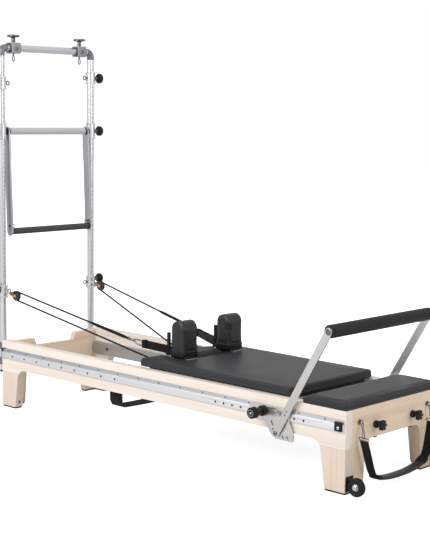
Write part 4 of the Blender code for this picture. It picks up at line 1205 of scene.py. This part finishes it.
def storage_sling():
    """A woven band hung across under the beams, with a folded and stitched edge."""
    node = "storage_sling"
    low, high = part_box(node)
    edge = 0.3015
    under = 0.2196
    half = [(edge + 0.037, under), (edge + 0.009, under), (edge + 0.002, under - 0.007),
            (edge, under - 0.060), (edge - 0.015, 0.134), (0.150, 0.130)]
    corners = half + [(0.0, 0.129)] + [(-y, z) for y, z in reversed(half)]
    middle_x = (low.x + high.x) / 2
    route = [Vector((middle_x, y, z)) for y, z in corners]
    dense = []
    for first, second in zip(route, route[1:]):
        dense += [first.lerp(second, step / 8) for step in range(8)]
    route = even_path(dense + [route[-1]], 0.008)
    width = high.x - low.x
    band = piece("sling_band", sweep(route, strap_section(width, 0.0022), side=X), STRAP, "frame",
                 (node,), 60.0)
    hems = []
    for side in (-1, 1):
        offset = X * side * (width / 2 - 0.0045)
        hems.append(sweep([point + offset for point in route], strap_section(0.008, 0.0030),
                          side=X))
    hem = piece("sling_hems", joined(hems), LOOP_OUTER, "frame", sharp=60.0)
    screws = [bolt_head(Vector((middle_x + x, sign * 0.330, under - 0.0011)), -Z, 0.006, 0.0025)
              for x in (-0.030, 0.030) for sign in SIDES.values()]
    screw = piece("sling_screws", joined(screws), DARK_METAL, "frame")


def foot_end():
    """The platform, the strap, the sling, the knobs, the wheels and two tabs under the board."""
    foot_platform()
    foot_strap()
    storage_sling()
    for side in SIDES:
        star_knob(side)
        transport_wheel(side)
    tabs = [brick(place(FACE_X - 0.014, y - 0.008, 0.2192), place(FACE_X, y + 0.008, 0.2245),
                  0.0012) for y in (TAB_Y, -TAB_Y)]
    piece("cross_board_tabs", joined(tabs), BLACK, "frame")


# Footbar -----------------------------------------------------------------------------------

PIVOT_X, PIVOT_Z = 2.027, 0.213
BAR_X, BAR_Z = 2.316, 0.709
ARM_Y, ARM_THICKNESS = 0.3775, 0.008
MOUNT_Y, MOUNT_THICKNESS = 0.3665, 0.006
GRIP_R = 0.0315
SEAM_STEP = 0.012
PLATE_BOLTS = [(2.006, 0.226), (2.048, 0.240), (1.886, 0.305)]
STOP_BEND = [(2.083, 0.322), (2.062, 0.312), (2.045, 0.298), (2.056, 0.281)]
PLATE_HOLES = [((2.030, 0.311), 0.004), ((2.042, 0.261), 0.007), ((2.061, 0.198), 0.008),
               ((2.087, 0.200), 0.008), ((1.996, 0.254), 0.011)]


def footbar_grip():
    """The padded roller with a seam underneath and a ring at each end."""
    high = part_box("footbar_grip")[1]
    axis = Vector((middle("footbar_grip").x, 0, middle("footbar_grip").z))
    inner, outer = 0.0166, GRIP_R - 0.0014
    half = high.y - 0.004
    start = axis - Y * half
    profile = [(inner, 0), (outer - 0.004, 0), (outer, 0.004), (outer, 2 * half - 0.004),
               (outer - 0.004, 2 * half), (inner, 2 * half)]
    cover = revolve(profile, start, Y, 64, closed=True)

    def is_held(spot):
        return math.hypot(spot.x - axis.x, spot.z - axis.z) < 0.024

    swollen = puffed(cover, 0.005, 0.0014, is_held)
    under = Vector((-math.sin(0.7), 0, -math.cos(0.7))) * outer
    steps = int((2 * half - 0.016) / SEAM_STEP)
    line = [axis + under + Y * (0.008 + SEAM_STEP * step - half) for step in range(steps)]
    seam = sweep(laid_on(swollen, line, 0.0001), circle_section(0.0009, 8))
    padded_piece("footbar_grip", swollen, GRIP_VINYL)
    piece("grip_seam", seam, PIPING, "footbar", sharp=60.0)
    rings = [sleeve(axis + Y * (sign * high.y - 0.0035 * (sign > 0)),
                    axis + Y * (sign * high.y + 0.0035 * (sign < 0)), 0.0166, GRIP_R - 0.002)
             for sign in SIDES.values()]
    piece("grip_rings", joined(rings), BLACK, "footbar")


def footbar():
    """Polished arms and cross tube, with their end discs and pivot screws."""
    softened("footbar_frame", 0.0009, POLISHED, 3)
    caps, bright = [], []
    for sign in SIDES.values():
        out = Y * sign
        face = sign * (ARM_Y + ARM_THICKNESS / 2)
        bright.append(revolve([(0, 0), (0.0155, 0), (0.0155, 0.0012), (0.0135, 0.0022),
                               (0.0060, 0.0022), (0.0050, 0.0012), (0, 0.0012)],
                              place(BAR_X, face, BAR_Z), out, 40))
        caps.append(round_bar(place(PIVOT_X, face + sign * 0.0062, PIVOT_Z),
                              place(PIVOT_X, face + sign * 0.0066, PIVOT_Z), 0.0052, 0.0001, 6))
        bright.append(revolve([(0.0063, 0), (0.0115, 0), (0.0115, 0.0016), (0.0098, 0.0024),
                               (0.0063, 0.0024)], place(PIVOT_X, face, PIVOT_Z), out, 36,
                              closed=True))
        for step in range(2):
            spot = place(PIVOT_X, 0, PIVOT_Z).lerp(place(BAR_X, 0, BAR_Z), 0.185 + 0.035 * step)
            caps.append(bolt_head(Vector((spot.x, face, spot.z)), out, 0.0034, 0.001))
    piece("footbar_caps", joined(caps), BLACK, "footbar")
    piece("footbar_rings", joined(bright), FITTING, "footbar")
    footbar_grip()


def footbar_mount(side):
    """The steel plate with its bent stop and bolts, and dark discs behind its holes as painted
    shadow.
    """
    sign = SIDES[side]
    node = f"footbar_mount_{side}"
    softened(node, 0.0007, POLISHED)
    # Dark discs just behind the plate's front face: painted shadow in its holes.
    back = sign * (MOUNT_Y + MOUNT_THICKNESS / 2 - 0.0006)
    shadows = [round_bar(place(x, back, z), place(x, back - sign * 0.0050, z), radius - 0.0003,
                         0.0001, 24) for (x, z), radius in PLATE_HOLES]
    piece(f"mount_hole_shadows_{side}", joined(shadows), HOLE, "footbar_base")
    face = sign * (MOUNT_Y + MOUNT_THICKNESS / 2)
    bend = smooth_path([place(x, face + sign * 0.0017, z) for x, z in STOP_BEND], 0.002)
    stop = sweep(bend, strap_section(0.009, 0.0028), side=Y.cross(bend[-1] - bend[0]))
    bolts = [bolt_head(place(x, face, z), Y * sign, 0.0062, 0.003) for x, z in PLATE_BOLTS]
    piece(f"mount_fittings_{side}", joined([stop, *bolts]), FITTING, "footbar_base",
          sharp=50.0)


def footbar_plunger(side):
    """The fluted locking knob on its neck, with a ring and a bright screw in its face."""
    sign = SIDES[side]
    node = f"footbar_plunger_{side}"
    low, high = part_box(node)
    out = Y * sign
    centre_x, centre_z = middle(node).x, middle(node).z
    face, start = ((high.y, low.y) if sign > 0 else (low.y, high.y))
    base = sign * (MOUNT_Y + MOUNT_THICKNESS / 2 + 0.0003)

    def at(y):
        return Vector((centre_x, y, centre_z))

    head = knurled(at(face - sign * 0.034), out, 0.0255, 0.033, 22, 0.0016, 0.0022)
    neck = revolve([(0, 0), (0.0230, 0), (0.0245, 0.0015), (0.0245, 0.018), (0.0225, 0.0215),
                    (0.017, 0.023), (0.0165, 0.040), (0.018, 0.055), (0, 0.055)], at(base), out,
                   40)
    ring = revolve([(0.0125, 0), (0.0165, 0), (0.0165, 0.0008), (0.0155, 0.0013),
                    (0.0135, 0.0013), (0.0125, 0.0008)], at(face - sign * 0.0012), out, 40,
                   closed=True)
    piece(node + "_knob", joined([head, neck]), GLOSS_BLACK, node, (node,))
    piece(node + "_ring", ring, KNOB_RING, node)
    screw = bolt_head(at(face - sign * 0.0012), out, 0.0048, 0.0012)
    pin = round_bar(at(start), at(base), 0.0035, 0.0005, 20)
    piece(node + "_steel", joined([screw, pin]), CHROME, node)


def footbar_assembly():
    """The footbar, and on each side the mount that it swings on with its locking knob."""
    footbar()
    for side in SIDES:
        footbar_mount(side)
        footbar_plunger(side)


# Tower -------------------------------------------------------------------------------------

TUBE_R = 0.019
TOWER_X = -0.029
UPRIGHT_Y = 0.322
TOP_BAR_Z = 1.977
BEND_R = 0.032
INDEX_STEP = 0.025
INDEX_START, INDEX_COUNT = 0.700, 48
CLAMP_HEIGHTS = (0.250, 0.335)
PUSH_Z = 1.524
PUSH_ARM_Y = 0.285
PUSH_LENGTH = 0.552
PUSH_TILT = math.radians(2.5)
PUSH_EYE_Z = 1.003
COLLAR_HEIGHT, COLLAR_R = 0.066, 0.0275
UPPER_COLLAR_Z = {"left": 1.829, "right": 1.786}
PULLEY_COLLAR_Z = 0.638
KNOB_INNER_Y = 0.382
GROOVE_R = 0.0185                 # the bottom of a sheave's groove


def index_plugs(places, outward):
    """Flush discs in a tube, their dark colour painted shade standing in for small index holes."""
    return joined([round_bar(spot - outward * 0.003, spot + outward * 0.0002, 0.0032, 0.0002, 12)
                   for spot in places])


def upright(side):
    """A tube with its index holes as flush discs of painted shade, a foot cap and two clamps to
    the wooden frame.
    """
    sign = SIDES[side]
    node = f"upright_{side}"
    low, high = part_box(node)
    y = sign * UPRIGHT_Y
    piece(node + "_tube", sleeve(place(TOWER_X, y, low.z), place(TOWER_X, y, high.z),
                                 TUBE_R - 0.0025, TUBE_R, 0.0005, 64),
          TUBE, "frame", (node,))
    holes = [place(TOWER_X + TUBE_R - 0.0001, y, INDEX_START + INDEX_STEP * step)
             for step in range(INDEX_COUNT)]
    piece(f"index_hole_shades_{side}", index_plugs(holes, X), INDEX_SHADOW, "frame")
    cap = revolve([(0, 0), (0.0185, 0), (0.0202, 0.0018), (0.0202, 0.012), (0.0192, 0.013),
                   (0, 0.013)], place(TOWER_X, y, low.z - 0.0035), Z, 40)
    piece(f"tube_foot_{side}", cap, BLACK, "frame")
    clamps = [brick(place(TOWER_X - 0.024, y - 0.025, z - 0.020),
                    place(-0.0004, y + 0.025, z + 0.020), 0.004, 3) for z in CLAMP_HEIGHTS]
    screws = [bolt_head(place(TOWER_X - 0.024, y + offset, z), -X, 0.005, 0.003)
              for z in CLAMP_HEIGHTS for offset in (-0.017, 0.017)]
    piece(f"tower_clamps_{side}", joined(clamps + screws), CAST, "frame")


def top_bar():
    """The straight indexed tube between two cast elbows."""
    joint_y = UPRIGHT_Y - BEND_R - 0.002
    piece("top_tube", round_bar(place(TOWER_X, -joint_y, TOP_BAR_Z),
                                place(TOWER_X, joint_y, TOP_BAR_Z), TUBE_R, 0.0006, 64),
          TUBE_ACROSS, "frame", ("tower_top_bar",))
    steps = [INDEX_STEP * step for step in range(-11, 12)]
    # Flush discs of painted shade for the top tube's index holes.
    marks = index_plugs([place(TOWER_X, y, TOP_BAR_Z + TUBE_R - 0.0001) for y in steps], Z)
    piece("top_index_holes", marks, INDEX_SHADOW, "frame")
    elbows = []
    for sign in SIDES.values():
        path = [place(TOWER_X, sign * (joint_y - 0.0003), TOP_BAR_Z)]
        path += [place(TOWER_X, sign * (UPRIGHT_Y - BEND_R + BEND_R * cosine),
                       TOP_BAR_Z - BEND_R + BEND_R * sine)
                 for cosine, sine in arc(QUARTER_TURN, -QUARTER_TURN, 12)]
        path.append(place(TOWER_X, sign * UPRIGHT_Y, TOP_BAR_Z - BEND_R - 0.012))
        elbows.append(sweep(even_path(path, 0.005), circle_section(TUBE_R + 0.0009, 36), side=X))
    piece("tower_elbows", joined(elbows), CAST, "frame", sharp=50.0)


def knob(sign, z, body, name):
    """A round black plunger knob on a metal stem, on the outer side of a collar."""
    out = Y * sign
    head = revolve([(0, 0), (0.014, 0), (0.0255, 0.004), (0.0285, 0.008), (0.0285, 0.018),
                    (0.0262, 0.022), (0.022, 0.023), (0.0205, 0.0222), (0.014, 0.0218),
                    (0.0125, 0.023), (0, 0.023)],
                   place(TOWER_X, sign * (KNOB_INNER_Y - 0.005), z), out, 48)
    piece(name + "_knob", head, BLACK, body)
    start = UPRIGHT_Y + TUBE_R + 0.002
    stem = revolve([(0, 0), (0.0105, 0), (0.0115, 0.0012), (0.0115, 0.012), (0.0100, 0.0135),
                    (0.0092, 0.0145), (0.0092, KNOB_INNER_Y - start - 0.004),
                    (0, KNOB_INNER_Y - start - 0.004)], place(TOWER_X, sign * start, z), out, 32)
    piece(name + "_stem", stem, DARK_METAL, body)


def collar_sleeve(centre, height, radius):
    """A sleeve with a flared lip at each end."""
    inner = TUBE_R + 0.0005
    profile = [(inner, 0), (radius + 0.0012, 0), (radius + 0.0018, 0.0008),
               (radius + 0.0018, 0.0035), (radius - 0.0008, 0.0065),
               (radius - 0.0008, height - 0.0065), (radius + 0.0018, height - 0.0035),
               (radius + 0.0018, height - 0.0008), (radius + 0.0012, height), (inner, height)]
    return revolve(profile, centre - Z * height / 2, Z, 64, closed=True)


def eye_ring(centre, outward, reach):
    """An eye bolt: its nut, its shank and its ring, which faces the foot end."""
    radius = 0.0095
    nut = round_bar(centre, centre + outward * 0.006, 0.0062, 0.0008, 6)
    shank = round_bar(centre + outward * 0.004, centre + outward * reach, 0.0028, 0.0004, 16)
    ring = hoop(centre + outward * (reach + radius), X, radius, 0.0030)
    return joined([shank, ring]), nut


def collar(node, side, z, height, radius, knob_z, with_eye=True):
    """A collar on an upright: its sleeve, its knob and, if it has one, its eye bolt."""
    sign = SIDES[side]
    body = BODY_OF[node]
    centre = place(TOWER_X, sign * UPRIGHT_Y, z)
    piece(node + "_sleeve", collar_sleeve(centre, height, radius), COLLAR, body,
          (node,))
    knob(sign, knob_z, body, node)
    if with_eye:
        eye, nut = eye_ring(centre - Y * sign * (radius - 0.002), -Y * sign, 0.010)
        piece(node + "_eye", eye, FITTING, body, sharp=50.0)
        piece(node + "_nut", nut, DARK_METAL, body)


def top_slider(side):
    """A clamp block on the top bar, with dark steel rings, a side screw, an eyelet and its
    plunger.
    """
    node = f"top_slider_{side}"
    low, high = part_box(node)
    centre = (low + high) / 2
    softened(node, 0.005, SLIDER, 4)
    rings = [sleeve(centre + Y * start, centre + Y * (start + 0.006), TUBE_R + 0.0005, 0.0262,
                    0.0012) for start in (-0.0355, 0.0295)]
    front = Vector((high.x, centre.y, centre.z - 0.002))
    socket = round_bar(front + X * 0.0045, front + X * 0.0050, 0.0042, 0.0001, 20)
    piece(node + "_rings", joined([*rings, socket]), DARK_METAL, node)
    washer = revolve([(0.0040, 0), (0.0105, 0), (0.0105, 0.003), (0.0085, 0.005),
                      (0.0040, 0.005)], front, X, 36, closed=True)
    eyelet_top = Vector((centre.x, centre.y, low.z))
    shank = round_bar(eyelet_top + Z * 0.002, eyelet_top - Z * 0.010, 0.0042, 0.0006, 20)
    drop = [eyelet_top + Vector((0, 0.0085 * sine * (0.55 + 0.45 * (1 - cosine) / 2),
                                 -0.0255 + 0.0165 * cosine))
            for cosine, sine in circle_section(1.0, 32)]
    eyelet = sweep(drop, circle_section(0.0027, 10), closed=True)
    piece(node + "_fittings", joined([washer, shank, eyelet]), FITTING, node,
          sharp=50.0)
    plunger = f"slider_plunger_{side}"
    low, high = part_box(plunger)
    profile = [(0, 0), (0.0055, 0), (0.006, 0.001), (0.006, 0.0125), (0.0125, 0.0135),
               (0.0125, 0.0185), (0.0100, 0.0200), (0.0100, 0.0335), (0.0135, 0.0375),
               (0.0300, 0.0400), (0.0335, 0.0425), (0.0335, 0.0480), (0.0310, 0.0508),
               (0.014, 0.0515), (0, 0.0515)]
    top = high.z - low.z
    scale = top / profile[-1][1]
    handle = revolve([(radius, height * scale) for radius, height in profile],
                     Vector((centre.x, centre.y, low.z)), Z, 56)
    piece(plunger + "_handle", handle, DARK_METAL, plunger, (plunger,))


def pulley(side):
    """Copper-toned cheeks on a collar, their steel neck and axle, and the grooved sheave."""
    node = f"pulley_block_{side}"
    collar(node, side, PULLEY_COLLAR_Z, COLLAR_HEIGHT, COLLAR_R, PULLEY_COLLAR_Z + 0.016)
    sheave = f"pulley_sheave_{side}"
    axle = middle(sheave)
    y = axle.y
    cheeks = [upright_plate(stadium((0.040, 0.632), (axle.x - HEAD_FACE + 0.003, axle.z), 0.021),
                            y + offset, 0.0028, 0.0006) for offset in (-0.012, 0.012)]
    bridge = brick(place(0.028, y - 0.0132, 0.624), place(0.041, y + 0.0132, 0.641), 0.002, 3)
    neck = round_bar(place(-0.006, y, 0.634), place(0.030, y, 0.634), 0.006, 0.0008, 24)
    piece(node + "_cheeks", joined([*cheeks, bridge]), COPPER, "frame")
    axle_bar = round_bar(axle - Y * 0.0150, axle + Y * 0.0150, 0.0048, 0.0008, 24)
    piece(node + "_axle", joined([neck, axle_bar]), CHROME, "frame")
    half = 0.009
    groove = [(GROOVE_R + 0.0036 * (1 - cosine), 0.0056 * sine)
              for cosine, sine in arc(-QUARTER_TURN, HALF_TURN, 10)]
    profile = [(0.0056, -half), (0.012, -half), (0.0135, -0.0065), (0.0215, -0.0065),
               (0.0235, -0.0088), (0.0265, -half + 0.0003), (0.027, -0.0082)]
    profile += groove + [(radius, -height) for radius, height in reversed(profile)]
    wheel = revolve(profile, axle, Y, 56, closed=True)
    piece(sheave + "_finished", wheel, SHEAVE, sheave, (sheave,))


def push_frame():
    """The swinging frame: flat arms, a light roller above, a foam grip below."""
    low_x = TOWER_X + PUSH_LENGTH * math.sin(PUSH_TILT)
    low_z = PUSH_Z - PUSH_LENGTH * math.cos(PUSH_TILT)
    outline = stadium((TOWER_X, PUSH_Z), (low_x, low_z), 0.050, 16)
    arms = [upright_plate(outline, sign * PUSH_ARM_Y, 0.008, 0.002) for sign in SIDES.values()]
    piece("push_arms", joined(arms), PUSH_ARM, "push_bar", ("push_bar_frame",))
    inner = PUSH_ARM_Y - 0.004
    piece("push_roller", round_bar(place(TOWER_X, -inner + 0.007, PUSH_Z),
                                   place(TOWER_X, inner - 0.007, PUSH_Z), 0.0184, 0.0012, 56),
          ROLLER, "push_bar")
    dark, bright = [], []
    for sign in SIDES.values():
        out = Y * sign
        for x, z, radius in ((TOWER_X, PUSH_Z, 0.0198), (low_x, low_z, 0.0194)):
            dark.append(round_bar(place(x, sign * (inner - 0.009), z),
                                  place(x, sign * (inner - 0.0002), z), radius, 0.0012, 40))
        bolt = place(TOWER_X + 0.024, sign * inner, PUSH_EYE_Z)
        dark.append(round_bar(bolt, bolt - out * 0.005, 0.006, 0.0008, 6))
        dark.append(round_bar(bolt + out * 0.008, bolt + out * 0.0125, 0.006, 0.0008, 6))
        bright.append(round_bar(bolt - out * 0.004, bolt - out * 0.012, 0.0026, 0.0004, 16))
        bright.append(hoop(bolt - out * 0.0205, X, 0.0085, 0.0022))
    piece("push_rings", joined(dark), BLACK, "push_bar")
    piece("push_eyes", joined(bright), FITTING, "push_bar", sharp=50.0)
    grip = revolve([(0, 0), (0.0165, 0), (0.018, 0.0015), (0.018, 2 * inner - 0.0195),
                    (0.0165, 2 * inner - 0.018), (0, 2 * inner - 0.018)],
                   place(low_x, -inner + 0.009, low_z), Y, 48)
    foam = piece("push_grip_foam", grip, FOAM, "push_bar", ("push_bar_grip",))
    for side in SIDES:
        sign = SIDES[side]
        node = f"push_collar_{side}"
        collar(node, side, PUSH_Z, 0.090, 0.026, PUSH_Z, False)
        near, far = sorted((sign * 0.2895, sign * 0.2985))
        boss = round_bar(place(TOWER_X, near, PUSH_Z), place(TOWER_X, far, PUSH_Z), 0.020, 0.001,
                         40)
        piece(node + "_spacer", boss, BLACK, BODY_OF[node])


def tower():
    """The tubes, the push-through frame and all that slides on them."""
    top_bar()
    push_frame()
    for side, z in UPPER_COLLAR_Z.items():
        upright(side)
        collar(f"upper_collar_{side}", side, z, COLLAR_HEIGHT, COLLAR_R, z)
        top_slider(side)
        pulley(side)


# Ropes and hand loops ------------------------------------------------------------------------

ROPE_DIAMETER = 0.0095
ROPE_SLOPE = math.radians(9.5)    # of the run from a hook up to its pulley
SPLICE_R = 0.0082
HOOK_Z = 0.490
ROPE_Y = 0.262
HOOK_X = {"left": 0.830, "right": 0.930}
SPLICE_X = {"left": 0.596, "right": 0.650}
CLEAT = (1.0928, 0.085, 0.329)    # where a rope ends under the carriage's head end
LOOP_START = {"left": (0.932, 0.252), "right": (1.034, 0.250)}
LOOP_TOP_Z = {"left": 0.460, "right": 0.4725}
LOOP_PEG_Z = 0.4475
LOOP_WIDTH = 0.038


def rope_path(side):
    """From the snap hook to the pulley, half round the sheave and back to the carriage's cleat."""
    sign = SIDES[side]
    sheave = middle(f"pulley_sheave_{side}")
    wrap = GROOVE_R + ROPE_DIAMETER / 2 + 0.0004
    path = [place(HOOK_X[side], sign * ROPE_Y, HOOK_Z)]
    path += [sheave + Vector((cosine, 0.0, sine)) * wrap
             for cosine, sine in arc(QUARTER_TURN - ROPE_SLOPE, HALF_TURN, 24)]
    path.append(place(CLEAT[0], sign * CLEAT[1], CLEAT[2]))
    return even_path(path, 0.006)


def rope(side):
    """The braided rope, and the thicker spliced part before its hook."""
    path = rope_path(side)
    made = piece(f"rope_{side}_braided", sweep(path, circle_section(ROPE_DIAMETER / 2, 12)), ROPE,
                 None, (f"rope_{side}",), 60.0, ride=False)
    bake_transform(made)
    splice_start = place(SPLICE_X[side], 0, 0).x
    spliced = [point for point in path[:len(path) // 2] if point.x > splice_start]
    rings = []
    for index, point in enumerate(spliced):
        share = index / (len(spliced) - 1)
        radius = SPLICE_R * min(1.0, 0.65 + 3.0 * share, 0.60 + 3.0 * (1 - share))
        along = (spliced[1] - spliced[0]).normalized()
        across = along.cross(Z).normalized()
        above = across.cross(along)
        rings.append([point + across * u * radius + above * v * radius
                      for u, v in circle_section(1.0, 14)])
    splice = piece(f"rope_{side}_splice", lofted(rings), STRAP, None, sharp=60.0,
                   ride=False)
    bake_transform(splice)
    ferrule = revolve([(0, 0), (0.0058, 0), (0.0078, 0.003), (0.0078, 0.012), (0.0058, 0.015),
                       (0, 0.015)], path[-1], path[-2] - path[-1], 24)
    ferrule = piece(f"rope_{side}_ferrule", ferrule, BLACK, "carriage")


def loop_path(side):
    """Once round the peg, from the hook and back to it."""
    sign = SIDES[side]
    start = Vector((LOOP_START[side][0], sign * LOOP_START[side][1]))
    peg = Vector((PEG_X, sign * PEG_Y))
    along = peg - start
    heading = math.atan2(along.y, along.x)
    narrow, wide = 0.0085, 0.0135
    lean = math.asin((narrow - wide) / along.length)
    flat = [start + Vector(spot) * narrow
            for spot in arc(heading - HALF_TURN, QUARTER_TURN + lean, 4)]
    flat += [peg + Vector(spot) * wide
             for spot in arc(heading - QUARTER_TURN + lean, HALF_TURN - 2 * lean, 16)]
    flat += [start + Vector(spot) * narrow
             for spot in arc(heading + QUARTER_TURN - lean, QUARTER_TURN + lean, 4)]
    path = []
    for spot in flat:                 # the loop sinks or climbs evenly from its hook to the peg
        share = (spot - peg).dot(-along) / along.length_squared
        height = LOOP_PEG_Z + (LOOP_TOP_Z[side] - LOOP_PEG_Z) * share
        path.append(place(spot.x, spot.y, height))
    return even_path(path, 0.004)[:-1]


def hand_loop(side):
    """A two-layer webbing loop round the peg, its stitched keeper and its snap hook."""
    sign = SIDES[side]
    path = loop_path(side)
    section = strap_section(LOOP_WIDTH, 0.0042, 3)
    strap = piece(f"hand_loop_{side}_webbing", sweep(path, section, side=Z),
                  [LOOP_OUTER, LOOP_INNER], "carriage", (f"hand_loop_{side}",), 60.0)
    centre = sum(path, Vector()) / len(path)
    for face in strap.data.polygons:
        if abs(face.normal.z) < 0.7 and face.normal.dot(centre - face.center) > 0:
            face.material_index = 1
    far = path[0].lerp(path[-1], 0.5)
    near = place(HOOK_X[side], sign * ROPE_Y, HOOK_Z)
    along = (far - near).normalized()
    to_peg = Vector((path[8].x - far.x, path[8].y - far.y, 0)).normalized()
    half, reach = 0.0128, LOOP_WIDTH / 2 + 0.0015
    outline = rounded([(-half, -reach), (half, -reach), (half, reach), (-half, reach)], 0.0035)
    keeper = slab(outline, 0.018, facing(far + to_peg * 0.016, to_peg), 0.002)
    keeper = piece(f"hand_loop_{side}_keeper", keeper, STRAP, "carriage", sharp=50.0)
    swivel = near.lerp(far, 0.42)
    shapes = [round_bar(near + along * 0.010, swivel, 0.0062, 0.001, 24),
              hoop(near + along * 0.004, Y, 0.0075, 0.0026)]
    shapes.append(snap_bow(swivel, along * (far - swivel).length, Z,
                           [(0.0, 0.0), (0.15, 0.008), (0.45, 0.0115), (0.85, 0.0115),
                            (1.04, 0.0)], 0.003, 0.0040))
    pin = Z * (LOOP_WIDTH / 2 + 0.002)
    shapes.append(round_bar(far - pin, far + pin, 0.0034, 0.0006, 16))
    hook = piece(f"hand_loop_{side}_hook", joined(shapes), FITTING, "carriage",
                 sharp=50.0)


for named_side in SIDES:
    rope(named_side)
    hand_loop(named_side)
    outer_rail(named_side)
    inner_rail(named_side)
wooden_frame()
deck()
headrest()
for named_side in SIDES:
    shoulder_rest(named_side)
running_gear()
foot_end()
footbar_assembly()
tower()
